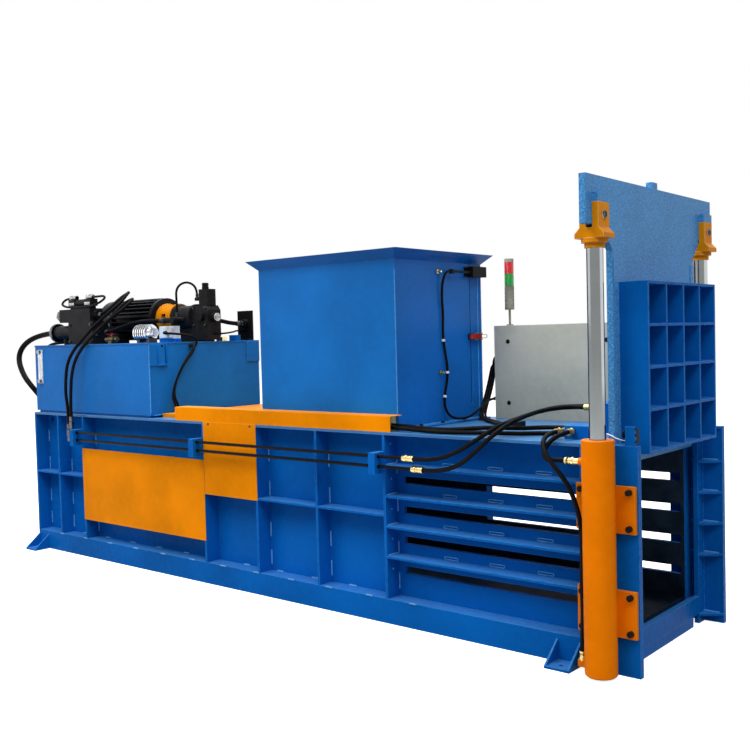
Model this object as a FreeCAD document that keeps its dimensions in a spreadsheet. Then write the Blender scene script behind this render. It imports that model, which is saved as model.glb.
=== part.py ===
import FreeCAD, Part
import math
import os
import Sketcher

# Horizontal closed-gate baler. X runs along the machine with the discharge gate at +X,
# -Y is the side with the pipes, and Z = 0 is the floor. The origin is the centre of the
# four anchor holes at floor level. All sizes are in millimetres.

SIZES = {
    # frame
    "frame_length": 4730.0,
    "frame_height": 1000.0,
    "chamber_width": 760.0,
    "wall": 25.0,
    "rib_depth": 101.0,
    "rib": 15.0,
    "level_bar": 12.0,
    "mid_level": 570.0,
    "rail_height": 130.0,
    "deck": 15.0,
    "floor_top": 140.0,
    "floor_plate": 25.0,
    "tail_plate": 20.0,
    "joist": 100.0,
    "lift_hole": 40.0,
    "lift_hole_at": 942.0,
    # ribs, from the tail end to the face nearer the gate
    "rib_two": 308.0,
    "rib_three": 620.0,
    "rib_four": 1905.0,
    "rib_five": 2375.0,
    "rib_six": 2855.0,
    "rib_seven": 3340.0,
    # chamber bars and strapping slots, the slots measured back from the gate end
    "first_level": 355.0,
    "level_pitch": 158.0,
    "slot_drop": 67.0,
    "slot_height": 40.0,
    "slot_start": 1351.0,
    "slot_end": 182.0,
    # anchor feet
    "tail_foot_inset": 70.0,
    "gate_foot_inset": 344.0,
    "foot_length": 125.0,
    "foot_reach": 116.0,
    "foot_plate": 12.0,
    "foot_height": 105.0,
    "foot_gusset": 10.0,
    "foot_hole_reach": 70.0,
    "anchor_hole": 22.0,
    # gate end
    "post_depth": 275.0,
    "post_plate": 30.0,
    "guide_setback": 100.0,
    "guide_bar": 24.0,
    "rear_guide": 30.0,
    "gate_slot": 38.0,
    "gate_mouth": 810.0,
    "sill_bottom": 50.0,
    "sill_groove": 22.0,
    "skid_width": 46.0,
    # gate
    "gate_thickness": 30.0,
    "gate_width": 900.0,
    "gate_low": 900.0,
    "gate_high": 2150.0,
    "ear_width": 1380.0,
    "ear_low": 1942.0,
    "neck_width": 1050.0,
    "neck_low": 1845.0,
    "neck_top": 1920.0,
    "gate_travel": 780.0,
    "gate_wear": 4.0,
    "wear_width": 36.0,
    "grid_width": 780.0,
    "grid_low": 955.0,
    "grid_high": 1707.0,
    "grid_depth": 133.0,
    "grid_bar": 12.0,
    "grid_cells": 4.0,
    "lug_width": 60.0,
    "lug_height": 30.0,
    # gate cylinders
    "cylinder_offset": 585.0,
    "gate_barrel": 142.0,
    "gate_bore": 100.0,
    "gate_rod": 72.0,
    "barrel_low": 12.0,
    "barrel_high": 1031.0,
    "barrel_cap": 48.0,
    "barrel_head": 46.0,
    "piston": 40.0,
    "rod_clearance": 0.05,
    "flange_width": 276.0,
    "flange_height": 205.0,
    "flange_plate": 20.0,
    "flange_low": 172.0,
    "flange_high": 624.0,
    "upper_port": 932.0,
    "low_port": 42.0,
    "low_port_offset": 23.0,
    "flange_bolt_x": 113.0,
    "flange_bolt_z": 78.0,
    "bolt": 18.0,
    "bolt_head": 27.0,
    "bolt_head_height": 18.0,
    # yokes
    "yoke_width": 100.0,
    "yoke_base": 136.0,
    "yoke_base_low": 1885.0,
    "yoke_base_height": 44.0,
    "yoke_cheek": 29.0,
    "yoke_high": 2035.0,
    "yoke_gap": 0.3,
    "gate_pin": 36.0,
    "gate_pin_at": 1983.0,
    "collar": 112.0,
    "collar_height": 18.0,
    "rod_nut": 86.0,
    "rod_nut_height": 22.0,
    "pad_height": 40.0,
    # hopper
    "hopper_at": 2332.0,
    "hopper_length": 1019.0,
    "hopper_width": 810.0,
    "hopper_sheet": 6.0,
    "hopper_collar": 65.0,
    "hopper_high": 1897.0,
    "rim_height": 53.0,
    "rim_flare": 55.0,
    "hopper_flange": 50.0,
    "hopper_flange_plate": 10.0,
    "hatch_depth": 102.0,
    "hatch_gap": 3.0,
    "hinge_pin": 14.0,
    "hinge_barrel": 26.0,
    "hinge_length": 90.0,
    # ram and main cylinder
    "ram_setback": 20.0,
    "ram_side_gap": 8.0,
    "ram_running_gap": 0.3,
    "ram_shoe": 12.0,
    "ram_face": 60.0,
    "ram_body": 800.0,
    "ram_plate": 20.0,
    "ram_shield": 1100.0,
    "ram_travel": 1070.0,
    "groove_depth": 42.0,
    "main_barrel": 194.0,
    "main_bore": 160.0,
    "main_rod": 110.0,
    "main_length": 1450.0,
    "main_flange": 300.0,
    "main_flange_plate": 40.0,
    # oil tank
    "tank_at": 5.0,
    "tank_length": 1360.0,
    "tank_width": 970.0,
    "tank_high": 1490.0,
    "tank_pad": 14.0,
    "tank_lid": 8.0,
    # motor and pump line
    "motor_y": 50.0,
    "motor_z": 1660.0,
    "motor_frame": 248.0,
    "motor_fin": 26.0,
    "fin_width": 7.0,
    "fin_count": 28.0,
    "fan_cover_at": 229.0,
    "motor_at": 375.0,
    "bell_at": 889.0,
    "pump_at": 1035.0,
    "pump_end": 1228.0,
    "control_end": 1395.0,
    "motor_shaft": 38.0,
    "fan_cover": 300.0,
    "cover_sheet": 3.0,
    "motor_flange": 296.0,
    "bell_flange": 216.0,
    "bell_neck": 190.0,
    # covers
    "cover": 3.0,
    "side_cover_low": 265.0,
    "side_cover_high": 765.0,
    "upper_cover_low": 555.0,
    "channel_at": 1640.0,
    "channel_end": 3382.0,
    "channel_high": 1083.0,
    "bay_cover_high": 1025.0,
    # pipes
    "pipe": 18.0,
    "pipe_clearance": 0.1,
    "pipe_reach": 54.0,
    "upper_pipe": 881.0,
    "lower_pipe": 829.0,
    "clamp_width": 40.0,
    "clamp_reach": 84.0,
    "clamp_low": 790.0,
    "clamp_high": 900.0,
    # cabinet
    "cabinet_at": 1302.0,
    "cabinet_length": 800.0,
    "cabinet_face": 420.0,
    "cabinet_depth": 250.0,
    "cabinet_high": 1538.0,
    "cabinet_sheet": 3.0,
    "cabinet_door": 20.0,
    # distributor blocks on the deck
    "block_start": 420.0,
    "block_end": 302.0,
    "far_block_start": 420.0,
    "far_block_end": 330.0,
    # signal tower
    "tower_at": 28.0,
    "tower_y": 550.0,
    "tower_diameter": 55.0,
    "tower_pole": 14.0,
    "tower_pole_high": 1632.0,
    "tower_body_high": 1773.0,
    "lens_height": 67.0,
    "lens_gap": 2.0,
    # hoses and cables
    "hose": 22.0,
    "tail_hose": 40.0,
    "pump_hose": 30.0,
    "pilot_hose": 16.0,
    "thin_hose": 12.0,
    "cable": 14.0,
    "motor_cable": 16.0,
    "switch_wire": 5.0,
}

doc = FreeCAD.newDocument("Baler")
sheet = doc.addObject("Spreadsheet::Sheet", "Sizes")


class Size:
    """A number together with the sheet formula that it comes from."""

    def __init__(self, value, text):
        self.value = value
        self.text = text

    def joined(self, other, sign, value):
        return Size(value, "(" + self.text + sign + other.text + ")")

    def __add__(self, other):
        other = size(other)
        return self.joined(other, " + ", self.value + other.value)

    def __radd__(self, other):
        return size(other) + self

    def __sub__(self, other):
        other = size(other)
        return self.joined(other, " - ", self.value - other.value)

    def __rsub__(self, other):
        return size(other) - self

    def __mul__(self, other):
        other = size(other)
        return self.joined(other, " * ", self.value * other.value)

    def __rmul__(self, other):
        return size(other) * self

    def __truediv__(self, other):
        other = size(other)
        return self.joined(other, " / ", self.value / other.value)

    def __neg__(self):
        return size(0) - self


def size(number):
    """A plain number as a Size; a Size stays as it is."""
    if isinstance(number, Size):
        return number
    return Size(float(number), "(" + repr(float(number)) + ")")


class Names:
    """The driving sizes by name."""


d = Names()
for row, (name, value) in enumerate(SIZES.items(), 1):
    sheet.set("A%d" % row, name)
    sheet.set("B%d" % row, repr(value))
    sheet.setAlias("B%d" % row, name)
    setattr(d, name, Size(value, "Sizes." + name))
doc.recompute()

# ---------------------------------------------------------------- building blocks

TURNS = {
    "X": FreeCAD.Rotation(FreeCAD.Vector(0, 1, 0), 90),
    "Y": FreeCAD.Rotation(FreeCAD.Vector(1, 0, 0), -90),
    "Z": FreeCAD.Rotation(),
}
PLANES = {"X": "YZ_Plane", "Y": "XZ_Plane", "Z": "XY_Plane"}
parts = {}


def ordered(first, second):
    """The lower and the higher of two places."""
    first, second = size(first), size(second)
    return (first, second) if first.value <= second.value else (second, first)


def block(name, xs, ys, zs):
    """A rectangular block between two places each way."""
    item = doc.addObject("Part::Box", name)
    for axis, side, span in zip("xyz", ("Length", "Width", "Height"), (xs, ys, zs)):
        low, high = ordered(*span)
        item.setExpression("Placement.Base." + axis, low.text)
        item.setExpression(side, (high - low).text)
    return item


def place(item, x, y, z):
    """Bind where an object's own origin lies."""
    for axis, value in zip("xyz", (x, y, z)):
        item.setExpression("Placement.Base." + axis, size(value).text)
    return item


def bar(name, axis, centre, diameter, span):
    """A round bar along X, Y or Z; centre holds its two other coordinates."""
    low, high = ordered(*span)
    item = doc.addObject("Part::Cylinder", name)
    item.setExpression("Radius", (size(diameter) / 2).text)
    item.setExpression("Height", (high - low).text)
    item.Placement = FreeCAD.Placement(FreeCAD.Vector(), TURNS[axis])
    at = list(centre)
    at.insert("XYZ".index(axis), low)
    return place(item, *at)


def plane_of(body, role):
    """One of a body's own origin planes."""
    return [f for f in body.Origin.OriginFeatures if f.Role == role][0]


def outline(body, axis, points, offset):
    """A closed outline across an axis, every corner held by two bound distances."""
    sketch = body.newObject("Sketcher::SketchObject", body.Name + "_outline")
    sketch.AttachmentSupport = [(plane_of(body, PLANES[axis]), "")]
    sketch.MapMode = "FlatFace"
    sketch.setExpression("AttachmentOffset.Base.z", size(offset).text)
    corners = [(size(a), size(b)) for a, b in points]
    count = len(corners)
    for i, (a, b) in enumerate(corners):
        after = corners[(i + 1) % count]
        start = FreeCAD.Vector(a.value, b.value, 0)
        end = FreeCAD.Vector(after[0].value, after[1].value, 0)
        sketch.addGeometry(Part.LineSegment(start, end), False)
    for i in range(count):
        sketch.addConstraint(Sketcher.Constraint("Coincident", i, 2, (i + 1) % count, 1))
    for i, corner in enumerate(corners):
        for kind, value in zip(("DistanceX", "DistanceY"), corner):
            held = sketch.addConstraint(Sketcher.Constraint(kind, -1, 1, i, 1, value.value))
            sketch.setExpression("Constraints[%d]" % held, value.text)
    return sketch


def prism(name, axis, points, span):
    """An outline padded along an axis: (y, z), (x, z) or (x, y) corners for X, Y or Z."""
    low, high = ordered(*span)
    body = doc.addObject("PartDesign::Body", name)
    start = -high if axis == "Y" else low
    sketch = outline(body, axis, points, start)
    pad = body.newObject("PartDesign::Pad", name + "_pad")
    pad.Profile = sketch
    pad.setExpression("Length", (high - low).text)
    body.Tip = pad
    return body


def turned(name, axis, points, at):
    """A profile of (radius, height) corners turned about its own axis, then placed."""
    body = doc.addObject("PartDesign::Body", name)
    sketch = outline(body, "Y", points, 0)
    turn = body.newObject("PartDesign::Revolution", name + "_turn")
    turn.Profile = sketch
    turn.ReferenceAxis = (sketch, ["V_Axis"])
    turn.Angle = 360
    body.Tip = turn
    body.Placement = FreeCAD.Placement(FreeCAD.Vector(), TURNS[axis])
    return place(body, *at)


def fused(name, items):
    """Pieces welded into one."""
    item = doc.addObject("Part::MultiFuse", name)
    item.Shapes = list(items)
    return item


def less(name, base, tools):
    """A piece with others cut out of it."""
    item = doc.addObject("Part::Cut", name)
    item.Base = base
    item.Tool = tools[0] if len(tools) == 1 else fused(name + "_tools", tools)
    return item


def together(name, items):
    """Separate pieces kept side by side in one file."""
    item = doc.addObject("Part::Compound", name)
    item.Links = list(items)
    return item


def node(label, item):
    """Name a finished piece; its label is its file's name."""
    item.Label = label
    parts[label] = item
    return item


# ---------------------------------------------------------------- main planes

SIDES = {"near": -1, "far": 1}

anchor_span = d.frame_length - d.tail_foot_inset - d.gate_foot_inset
tail = -(anchor_span / 2) - d.tail_foot_inset
gate_end = tail + d.frame_length

half_in = d.chamber_width / 2
half_wall = half_in + d.wall
half_rib = half_wall + d.rib_depth
post_in = half_rib - d.post_plate
under_deck = d.frame_height - d.deck

post_start = gate_end - d.post_depth
bar_front = gate_end - d.guide_setback
bar_back = bar_front - d.guide_bar
slot_back = bar_back - d.gate_slot
half_mouth = d.gate_mouth / 2

hopper_tail = tail + d.hopper_at
hopper_gate = hopper_tail + d.hopper_length
half_hopper = d.hopper_width / 2

levels = [d.first_level + d.level_pitch * step for step in range(4)]


def slot_heights(level):
    """The strapping slot that lies under a chamber bar."""
    return (level - d.slot_drop - d.slot_height, level - d.slot_drop)


# ---------------------------------------------------------------- frame

for side, sign in SIDES.items():
    wall = block(side + "_wall", (tail, slot_back), (sign * half_in, sign * half_wall), (0, under_deck))
    cuts = [
        bar(
            side + "_lift_hole",
            "Y",
            (tail + d.tail_foot_inset, d.lift_hole_at),
            d.lift_hole,
            (sign * (half_in - 1), sign * (half_wall + 1)),
        )
    ]
    for step, level in enumerate(levels):
        cuts.append(
            block(
                "%s_slot_%d" % (side, step),
                (gate_end - d.slot_start, gate_end - d.slot_end),
                (sign * (half_in - 1), sign * (half_wall + 1)),
                slot_heights(level),
            )
        )
    node("side_wall_" + side, less("side_wall_" + side, wall, cuts))

rails = []
for side, sign in SIDES.items():
    rails.append(
        block(side + "_rail", (tail, post_start), (sign * half_wall, sign * half_rib), (0, d.rail_height))
    )
joist_places = [tail + d.tail_plate, tail + d.rib_three, tail + d.rib_four, tail + d.rib_six]
joist_places.append(post_start - d.joist)
for step, start in enumerate(joist_places):
    rails.append(
        block(
            "joist_%d" % step,
            (start, start + d.joist),
            (-half_in, half_in),
            (0, d.floor_top - d.floor_plate),
        )
    )
rails.append(
    block(
        "skid",
        (bar_front - d.skid_width, bar_front),
        (-(half_in - d.rib_depth / 2), half_in - d.rib_depth / 2),
        (0, d.sill_bottom),
    )
)
node("base_rails", together("base_rails", rails))

rib_faces = [d.rib, d.rib_two, d.rib_three, d.rib_four, d.rib_five, d.rib_six, d.rib_seven]
ribs = []
for side, sign in SIDES.items():
    depth = (sign * half_wall, sign * half_rib)
    for step, face in enumerate(rib_faces):
        name = "%s_rib_%d" % (side, step)
        ribs.append(block(name, (tail + face - d.rib, tail + face), depth, (d.rail_height, under_deck)))
    for step, (first, second) in enumerate(zip(rib_faces, rib_faces[1:])):
        if first is not d.rib_three:
            name = "%s_mid_%d" % (side, step)
            span = (tail + first, tail + second - d.rib)
            ribs.append(block(name, span, depth, (d.mid_level - d.level_bar, d.mid_level)))
node("side_ribs", together("side_ribs", ribs))

bars = []
for side, sign in SIDES.items():
    for step, level in enumerate(levels):
        bars.append(
            block(
                "%s_level_%d" % (side, step),
                (tail + d.rib_seven, post_start),
                (sign * half_wall, sign * half_rib),
                (level - d.level_bar, level),
            )
        )
node("chamber_bars", together("chamber_bars", bars))

gusset_levels = [d.sill_bottom] + levels + [d.frame_height]
for side, sign in SIDES.items():
    depth = (sign * half_mouth, sign * post_in)
    pieces = [
        block(side + "_plate", (post_start, gate_end), (sign * post_in, sign * half_rib), (0, d.frame_height)),
        block(side + "_guide", (bar_back, bar_front), depth, (0, d.frame_height)),
        block(
            side + "_rear_guide",
            (slot_back - d.rear_guide, slot_back),
            (sign * half_wall, sign * post_in),
            (0, under_deck),
        ),
    ]
    for step, level in enumerate(gusset_levels):
        corners = [
            (bar_front, sign * half_mouth),
            (gate_end, sign * post_in),
            (bar_front, sign * post_in),
        ]
        pieces.append(prism("%s_gusset_%d" % (side, step), "Z", corners, (level - d.level_bar, level)))
    node("gate_post_" + side, together("gate_post_" + side, pieces))

node(
    "floor_plate",
    block("floor_plate", (tail, slot_back), (-half_in, half_in), (d.floor_top - d.floor_plate, d.floor_top)),
)
node(
    "front_sill",
    fused(
        "front_sill",
        [
            block(
                "sill_bed",
                (slot_back, bar_back),
                (-post_in, post_in),
                (d.sill_bottom, d.floor_top - d.sill_groove),
            ),
            block("sill_lip", (bar_back, bar_front), (-half_mouth, half_mouth), (d.sill_bottom, d.floor_top)),
        ],
    ),
)
node(
    "tail_plate",
    less(
        "tail_plate",
        block("tail_sheet", (tail, tail + d.tail_plate), (-half_in, half_in), (d.floor_top, under_deck)),
        [
            bar(
                "tail_port_hole",
                "X",
                (0, (d.floor_top + under_deck) / 2),
                d.main_barrel,
                (tail - 1, tail + d.tail_plate + 1),
            )
        ],
    ),
)
deck_heights = (under_deck, d.frame_height)
node(
    "deck_plates",
    together(
        "deck_plates",
        [
            block("tail_deck", (tail, hopper_tail), (-half_rib, half_rib), deck_heights),
            block("near_deck_strip", (hopper_tail, hopper_gate), (-half_rib, -half_in), deck_heights),
            block("far_deck_strip", (hopper_tail, hopper_gate), (half_in, half_rib), deck_heights),
            block("chamber_deck", (hopper_gate, post_start), (-half_rib, half_rib), deck_heights),
            block("gate_deck", (post_start, slot_back), (-post_in, post_in), deck_heights),
        ],
    ),
)

# ---------------------------------------------------------------- anchor feet

feet = []
foot_places = {"tail": -anchor_span / 2, "gate": anchor_span / 2}
for end, middle in foot_places.items():
    for side, sign in SIDES.items():
        name = "foot_%s_%s" % (end, side)
        xs = (middle - d.foot_length / 2, middle + d.foot_length / 2)
        out = half_rib + d.foot_reach
        base = block(name + "_base", xs, (sign * half_rib, sign * out), (0, d.foot_plate))
        pieces = [base]
        for step, start in enumerate((xs[0], xs[1] - d.foot_gusset)):
            corners = [
                (sign * half_rib, d.foot_plate),
                (sign * out, d.foot_plate),
                (sign * half_rib, d.foot_height),
            ]
            pieces.append(prism("%s_gusset_%d" % (name, step), "X", corners, (start, start + d.foot_gusset)))
        hole = bar(
            name + "_hole",
            "Z",
            (middle, sign * (half_rib + d.foot_hole_reach)),
            d.anchor_hole,
            (-1, d.foot_plate + 1),
        )
        feet.append(less(name, fused(name + "_weld", pieces), [hole]))
node("anchor_feet", together("anchor_feet", feet))

# ---------------------------------------------------------------- gate

gate_x = (slot_back + bar_back - d.gate_wear) / 2
gate_back = gate_x - d.gate_thickness / 2
gate_front = gate_x + d.gate_thickness / 2
half_gate = d.gate_width / 2
half_ear = d.ear_width / 2
half_neck = d.neck_width / 2

right_edge = [
    (half_gate, d.gate_low),
    (half_gate, d.neck_low),
    (half_neck, d.neck_top),
    (half_neck, d.ear_low),
    (half_ear, d.ear_low),
    (half_ear, d.gate_high),
]
gate_outline = right_edge + [(-y, z) for y, z in reversed(right_edge)]
gate_pieces = [prism("gate_sheet", "X", gate_outline, (gate_back, gate_front))]
gate_pieces.append(
    block(
        "gate_lug",
        (gate_back, gate_front),
        (-d.lug_width / 2, d.lug_width / 2),
        (d.gate_high, d.gate_high + d.lug_height),
    )
)
pin_holes = []
for side, sign in SIDES.items():
    edge = half_gate - 4
    gate_pieces.append(
        block(
            side + "_wear_strip",
            (gate_front, gate_front + d.gate_wear),
            (sign * (edge - d.wear_width), sign * edge),
            (d.gate_low, d.neck_low - d.wear_width),
        )
    )
    middle = sign * d.cylinder_offset
    for face, start, way in (("front", gate_front, 1), ("back", gate_back, -1)):
        gate_pieces.append(
            block(
                "%s_%s_pad" % (side, face),
                (start, start + way * d.yoke_cheek),
                (middle - d.yoke_width / 2, middle + d.yoke_width / 2),
                (d.yoke_high, d.yoke_high + d.pad_height),
            )
        )
    pin_holes.append(
        bar(
            side + "_ear_hole",
            "X",
            (middle, d.gate_pin_at),
            d.gate_pin + 2 * d.rod_clearance,
            (gate_back - 1, gate_front + 1),
        )
    )
node("gate_plate", less("gate_plate", fused("gate_weld", gate_pieces), pin_holes))

half_grid = d.grid_width / 2
grid_front = gate_front + d.grid_depth
cell_y = (d.grid_width - d.grid_bar) / d.grid_cells
cell_z = (d.grid_high - d.grid_low - d.grid_bar) / d.grid_cells
cells = []
for column in range(int(d.grid_cells.value)):
    for row in range(int(d.grid_cells.value)):
        y0 = -half_grid + d.grid_bar + cell_y * column
        z0 = d.grid_low + d.grid_bar + cell_z * row
        cells.append(
            block(
                "cell_%d_%d" % (column, row),
                (gate_front - 1, grid_front + 1),
                (y0, y0 + cell_y - d.grid_bar),
                (z0, z0 + cell_z - d.grid_bar),
            )
        )
grid_block = block("grid_block", (gate_front, grid_front), (-half_grid, half_grid), (d.grid_low, d.grid_high))
node("gate_grid", less("gate_grid", grid_block, cells))

yokes = []
pins = []
rods = []
barrels = []
bolts = []
yoke_floor = d.yoke_base_low + d.yoke_base_height
rod_high = d.yoke_base_low - d.collar_height - d.rod_nut_height
for side, sign in SIDES.items():
    middle = sign * d.cylinder_offset
    ys = (middle - d.yoke_width / 2, middle + d.yoke_width / 2)
    front = gate_front + d.yoke_gap
    back = gate_back - d.yoke_gap
    half_base = d.yoke_base / 2
    outer = (gate_front + d.yoke_gap + d.yoke_cheek) - gate_x
    base = prism(
        side + "_yoke_base",
        "Y",
        [
            (gate_x - half_base, d.yoke_base_low),
            (gate_x + half_base, d.yoke_base_low),
            (gate_x + half_base, yoke_floor - (half_base - outer)),
            (gate_x + outer, yoke_floor),
            (gate_x - outer, yoke_floor),
            (gate_x - half_base, yoke_floor - (half_base - outer)),
        ],
        ys,
    )
    welded = [
        base,
        block(side + "_front_cheek", (front, front + d.yoke_cheek), ys, (yoke_floor - 1, d.yoke_high)),
        block(side + "_back_cheek", (back - d.yoke_cheek, back), ys, (yoke_floor - 1, d.yoke_high)),
        bar(
            side + "_collar",
            "Z",
            (gate_x, middle),
            d.collar,
            (d.yoke_base_low - d.collar_height, d.yoke_base_low + 1),
        ),
        bar(
            side + "_rod_nut",
            "Z",
            (gate_x, middle),
            d.rod_nut,
            (rod_high, d.yoke_base_low - d.collar_height + 1),
        ),
    ]
    hole = bar(
        side + "_yoke_hole",
        "X",
        (middle, d.gate_pin_at),
        d.gate_pin + 2 * d.rod_clearance,
        (back - d.yoke_cheek - 1, front + d.yoke_cheek + 1),
    )
    yokes.append(less(side + "_yoke", fused(side + "_yoke_weld", welded), [hole]))

    pin_reach = d.yoke_cheek + d.yoke_gap + 5
    pins.append(
        turned(
            side + "_pin",
            "X",
            [
                (0, 0),
                (d.gate_pin / 2 - 2, 0),
                (d.gate_pin / 2, 2),
                (d.gate_pin / 2, d.gate_thickness + 2 * pin_reach - 2),
                (d.gate_pin / 2 - 2, d.gate_thickness + 2 * pin_reach),
                (0, d.gate_thickness + 2 * pin_reach),
            ],
            (gate_back - pin_reach, middle, d.gate_pin_at),
        )
    )

    bore = d.gate_bore / 2
    rod = d.gate_rod / 2
    piston_high = d.barrel_high - d.barrel_head - 10
    piston_low = piston_high - d.piston
    rods.append(
        turned(
            side + "_rod",
            "Z",
            [
                (0, 0),
                (bore - d.rod_clearance, 0),
                (bore - d.rod_clearance, d.piston),
                (rod, d.piston),
                (rod, rod_high - piston_low),
                (0, rod_high - piston_low),
            ],
            (gate_x, middle, piston_low),
        )
    )

    length = d.barrel_high - d.barrel_low
    tube = turned(
        side + "_tube",
        "Z",
        [
            (0, 0),
            (d.gate_barrel / 2 - 6, 0),
            (d.gate_barrel / 2, 6),
            (d.gate_barrel / 2, length - 3),
            (d.gate_barrel / 2 - 3, length),
            (rod + d.rod_clearance, length),
            (rod + d.rod_clearance, length - d.barrel_head),
            (bore, length - d.barrel_head),
            (bore, d.barrel_cap),
            (0, d.barrel_cap),
        ],
        (gate_x, middle, d.barrel_low),
    )
    half_flange = d.flange_width / 2
    plates = []
    holes = [
        bar(
            side + "_inside",
            "Z",
            (gate_x, middle),
            d.gate_barrel - 1,
            (d.barrel_low, d.barrel_high),
        )
    ]
    for level, low in (("low", d.flange_low), ("high", d.flange_high)):
        plates.append(
            block(
                "%s_%s_flange" % (side, level),
                (gate_x - half_flange, gate_x + half_flange),
                (sign * half_rib, sign * (half_rib + d.flange_plate)),
                (low, low + d.flange_height),
            )
        )
        for way_x in (-1, 1):
            for way_z in (-1, 1):
                name = "%s_%s_bolt_%d_%d" % (side, level, way_x + 1, way_z + 1)
                at_x = gate_x + way_x * d.flange_bolt_x
                at_z = low + d.flange_height / 2 + way_z * d.flange_bolt_z
                face = half_rib + d.flange_plate
                ways = ((-1, half_rib), (1, half_rib))
                start = sign * half_rib
                holes.append(
                    bar(
                        name + "_hole",
                        "Y",
                        (at_x, at_z),
                        d.bolt + 0.4,
                        (sign * (half_rib - 1), sign * (face + 1)),
                    )
                )
                shank = bar(name + "_shank", "Y", (at_x, at_z), d.bolt, (start, sign * face))
                head = bar(
                    name + "_head",
                    "Y",
                    (at_x, at_z),
                    d.bolt_head,
                    (sign * face, sign * (face + d.bolt_head_height)),
                )
                bolts.append(fused(name, [shank, head]))
    ports = [
        bar(
            side + "_high_port",
            "X",
            (middle, d.upper_port),
            34,
            (gate_x - d.gate_barrel / 2 - 18, gate_x - bore - 7),
        ),
        block(
            side + "_low_port",
            (gate_x - d.gate_barrel / 2 - 44, gate_x - bore - 7),
            (middle - sign * (d.low_port_offset - 16), middle - sign * (d.low_port_offset + 16)),
            (d.low_port - 16, d.low_port + 16),
        ),
    ]
    flanges_cut = less(side + "_flanges", fused(side + "_pl", plates), holes)
    barrels.append(fused(side + "_barrel", [tube, flanges_cut] + ports))
node("gate_yokes", together("gate_yokes", yokes))
node("gate_pins", together("gate_pins", pins))
node("gate_rods", together("gate_rods", rods))
node("gate_barrels", together("gate_barrels", barrels))
node("barrel_bolts", together("barrel_bolts", bolts))

# ---------------------------------------------------------------- hopper

hatch_seam = half_hopper - d.hatch_depth
collar_high = d.frame_height + d.hopper_collar
sheet_in = d.hopper_sheet


def tube_of(name, xs, ys, zs, sheet_thickness):
    """An open rectangular duct of sheet."""
    outer = block(name + "_outer", xs, ys, zs)
    low_x, high_x = ordered(*xs)
    low_y, high_y = ordered(*ys)
    inner = block(
        name + "_inner",
        (low_x + sheet_thickness, high_x - sheet_thickness),
        (low_y + sheet_thickness, high_y - sheet_thickness),
        (zs[0] - 1, zs[1] + 1),
    )
    return less(name, outer, [inner])


def flare(name, inset):
    """The solid inside the flared rim, inset from its outer face."""
    item = doc.addObject("Part::Wedge", name)
    item.setExpression("Xmin", "0")
    item.setExpression("Xmax", (d.hopper_length - 2 * inset).text)
    item.setExpression("Zmin", "0")
    item.setExpression("Zmax", (d.hopper_width - 2 * inset).text)
    item.setExpression("Ymin", "0")
    item.setExpression("Ymax", d.rim_height.text)
    item.setExpression("X2min", (-d.rim_flare).text)
    item.setExpression("X2max", (d.hopper_length - 2 * inset + d.rim_flare).text)
    item.setExpression("Z2min", (-d.rim_flare).text)
    item.setExpression("Z2max", (d.hopper_width - 2 * inset + d.rim_flare).text)
    item.Placement = FreeCAD.Placement(FreeCAD.Vector(), FreeCAD.Rotation(FreeCAD.Vector(1, 0, 0), 90))
    return place(item, hopper_tail + inset, half_hopper - inset, d.hopper_high)


collar = tube_of(
    "hopper_collar_duct",
    (hopper_tail, hopper_gate),
    (-half_hopper, half_hopper),
    (d.frame_height, collar_high),
    d.hopper_sheet,
)
flanges = []
for way, start in ((-1, hopper_tail), (1, hopper_gate)):
    flanges.append(
        block(
            "hopper_flange_%d" % (way + 1),
            (start, start + way * d.hopper_flange),
            (-half_hopper, half_hopper),
            (d.frame_height, d.frame_height + d.hopper_flange_plate),
        )
    )
shell = less(
    "hopper_shell",
    block("hopper_block", (hopper_tail, hopper_gate), (-half_hopper, hatch_seam), (collar_high, d.hopper_high)),
    [
        block(
            "hopper_room",
            (hopper_tail + sheet_in, hopper_gate - sheet_in),
            (-half_hopper + sheet_in, hatch_seam + 1),
            (collar_high - 1, d.hopper_high + 1),
        )
    ],
)
top_beam = block(
    "hopper_top_beam",
    (hopper_tail, hopper_gate),
    (hatch_seam - 2 * sheet_in, half_hopper),
    (d.hopper_high - 2 * sheet_in, d.hopper_high),
)
top_room = block(
    "hopper_top_room",
    (hopper_tail + sheet_in, hopper_gate - sheet_in),
    (hatch_seam - 2 * sheet_in - 1, half_hopper - sheet_in),
    (d.hopper_high - 2 * sheet_in - 1, d.hopper_high + 1),
)
rim = less("hopper_rim", flare("rim_outer", size(0)), [flare("rim_inner", d.hopper_sheet)])
node(
    "hopper_body",
    fused("hopper_body", [collar] + flanges + [shell, less("hopper_beam", top_beam, [top_room]), rim]),
)

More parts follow.
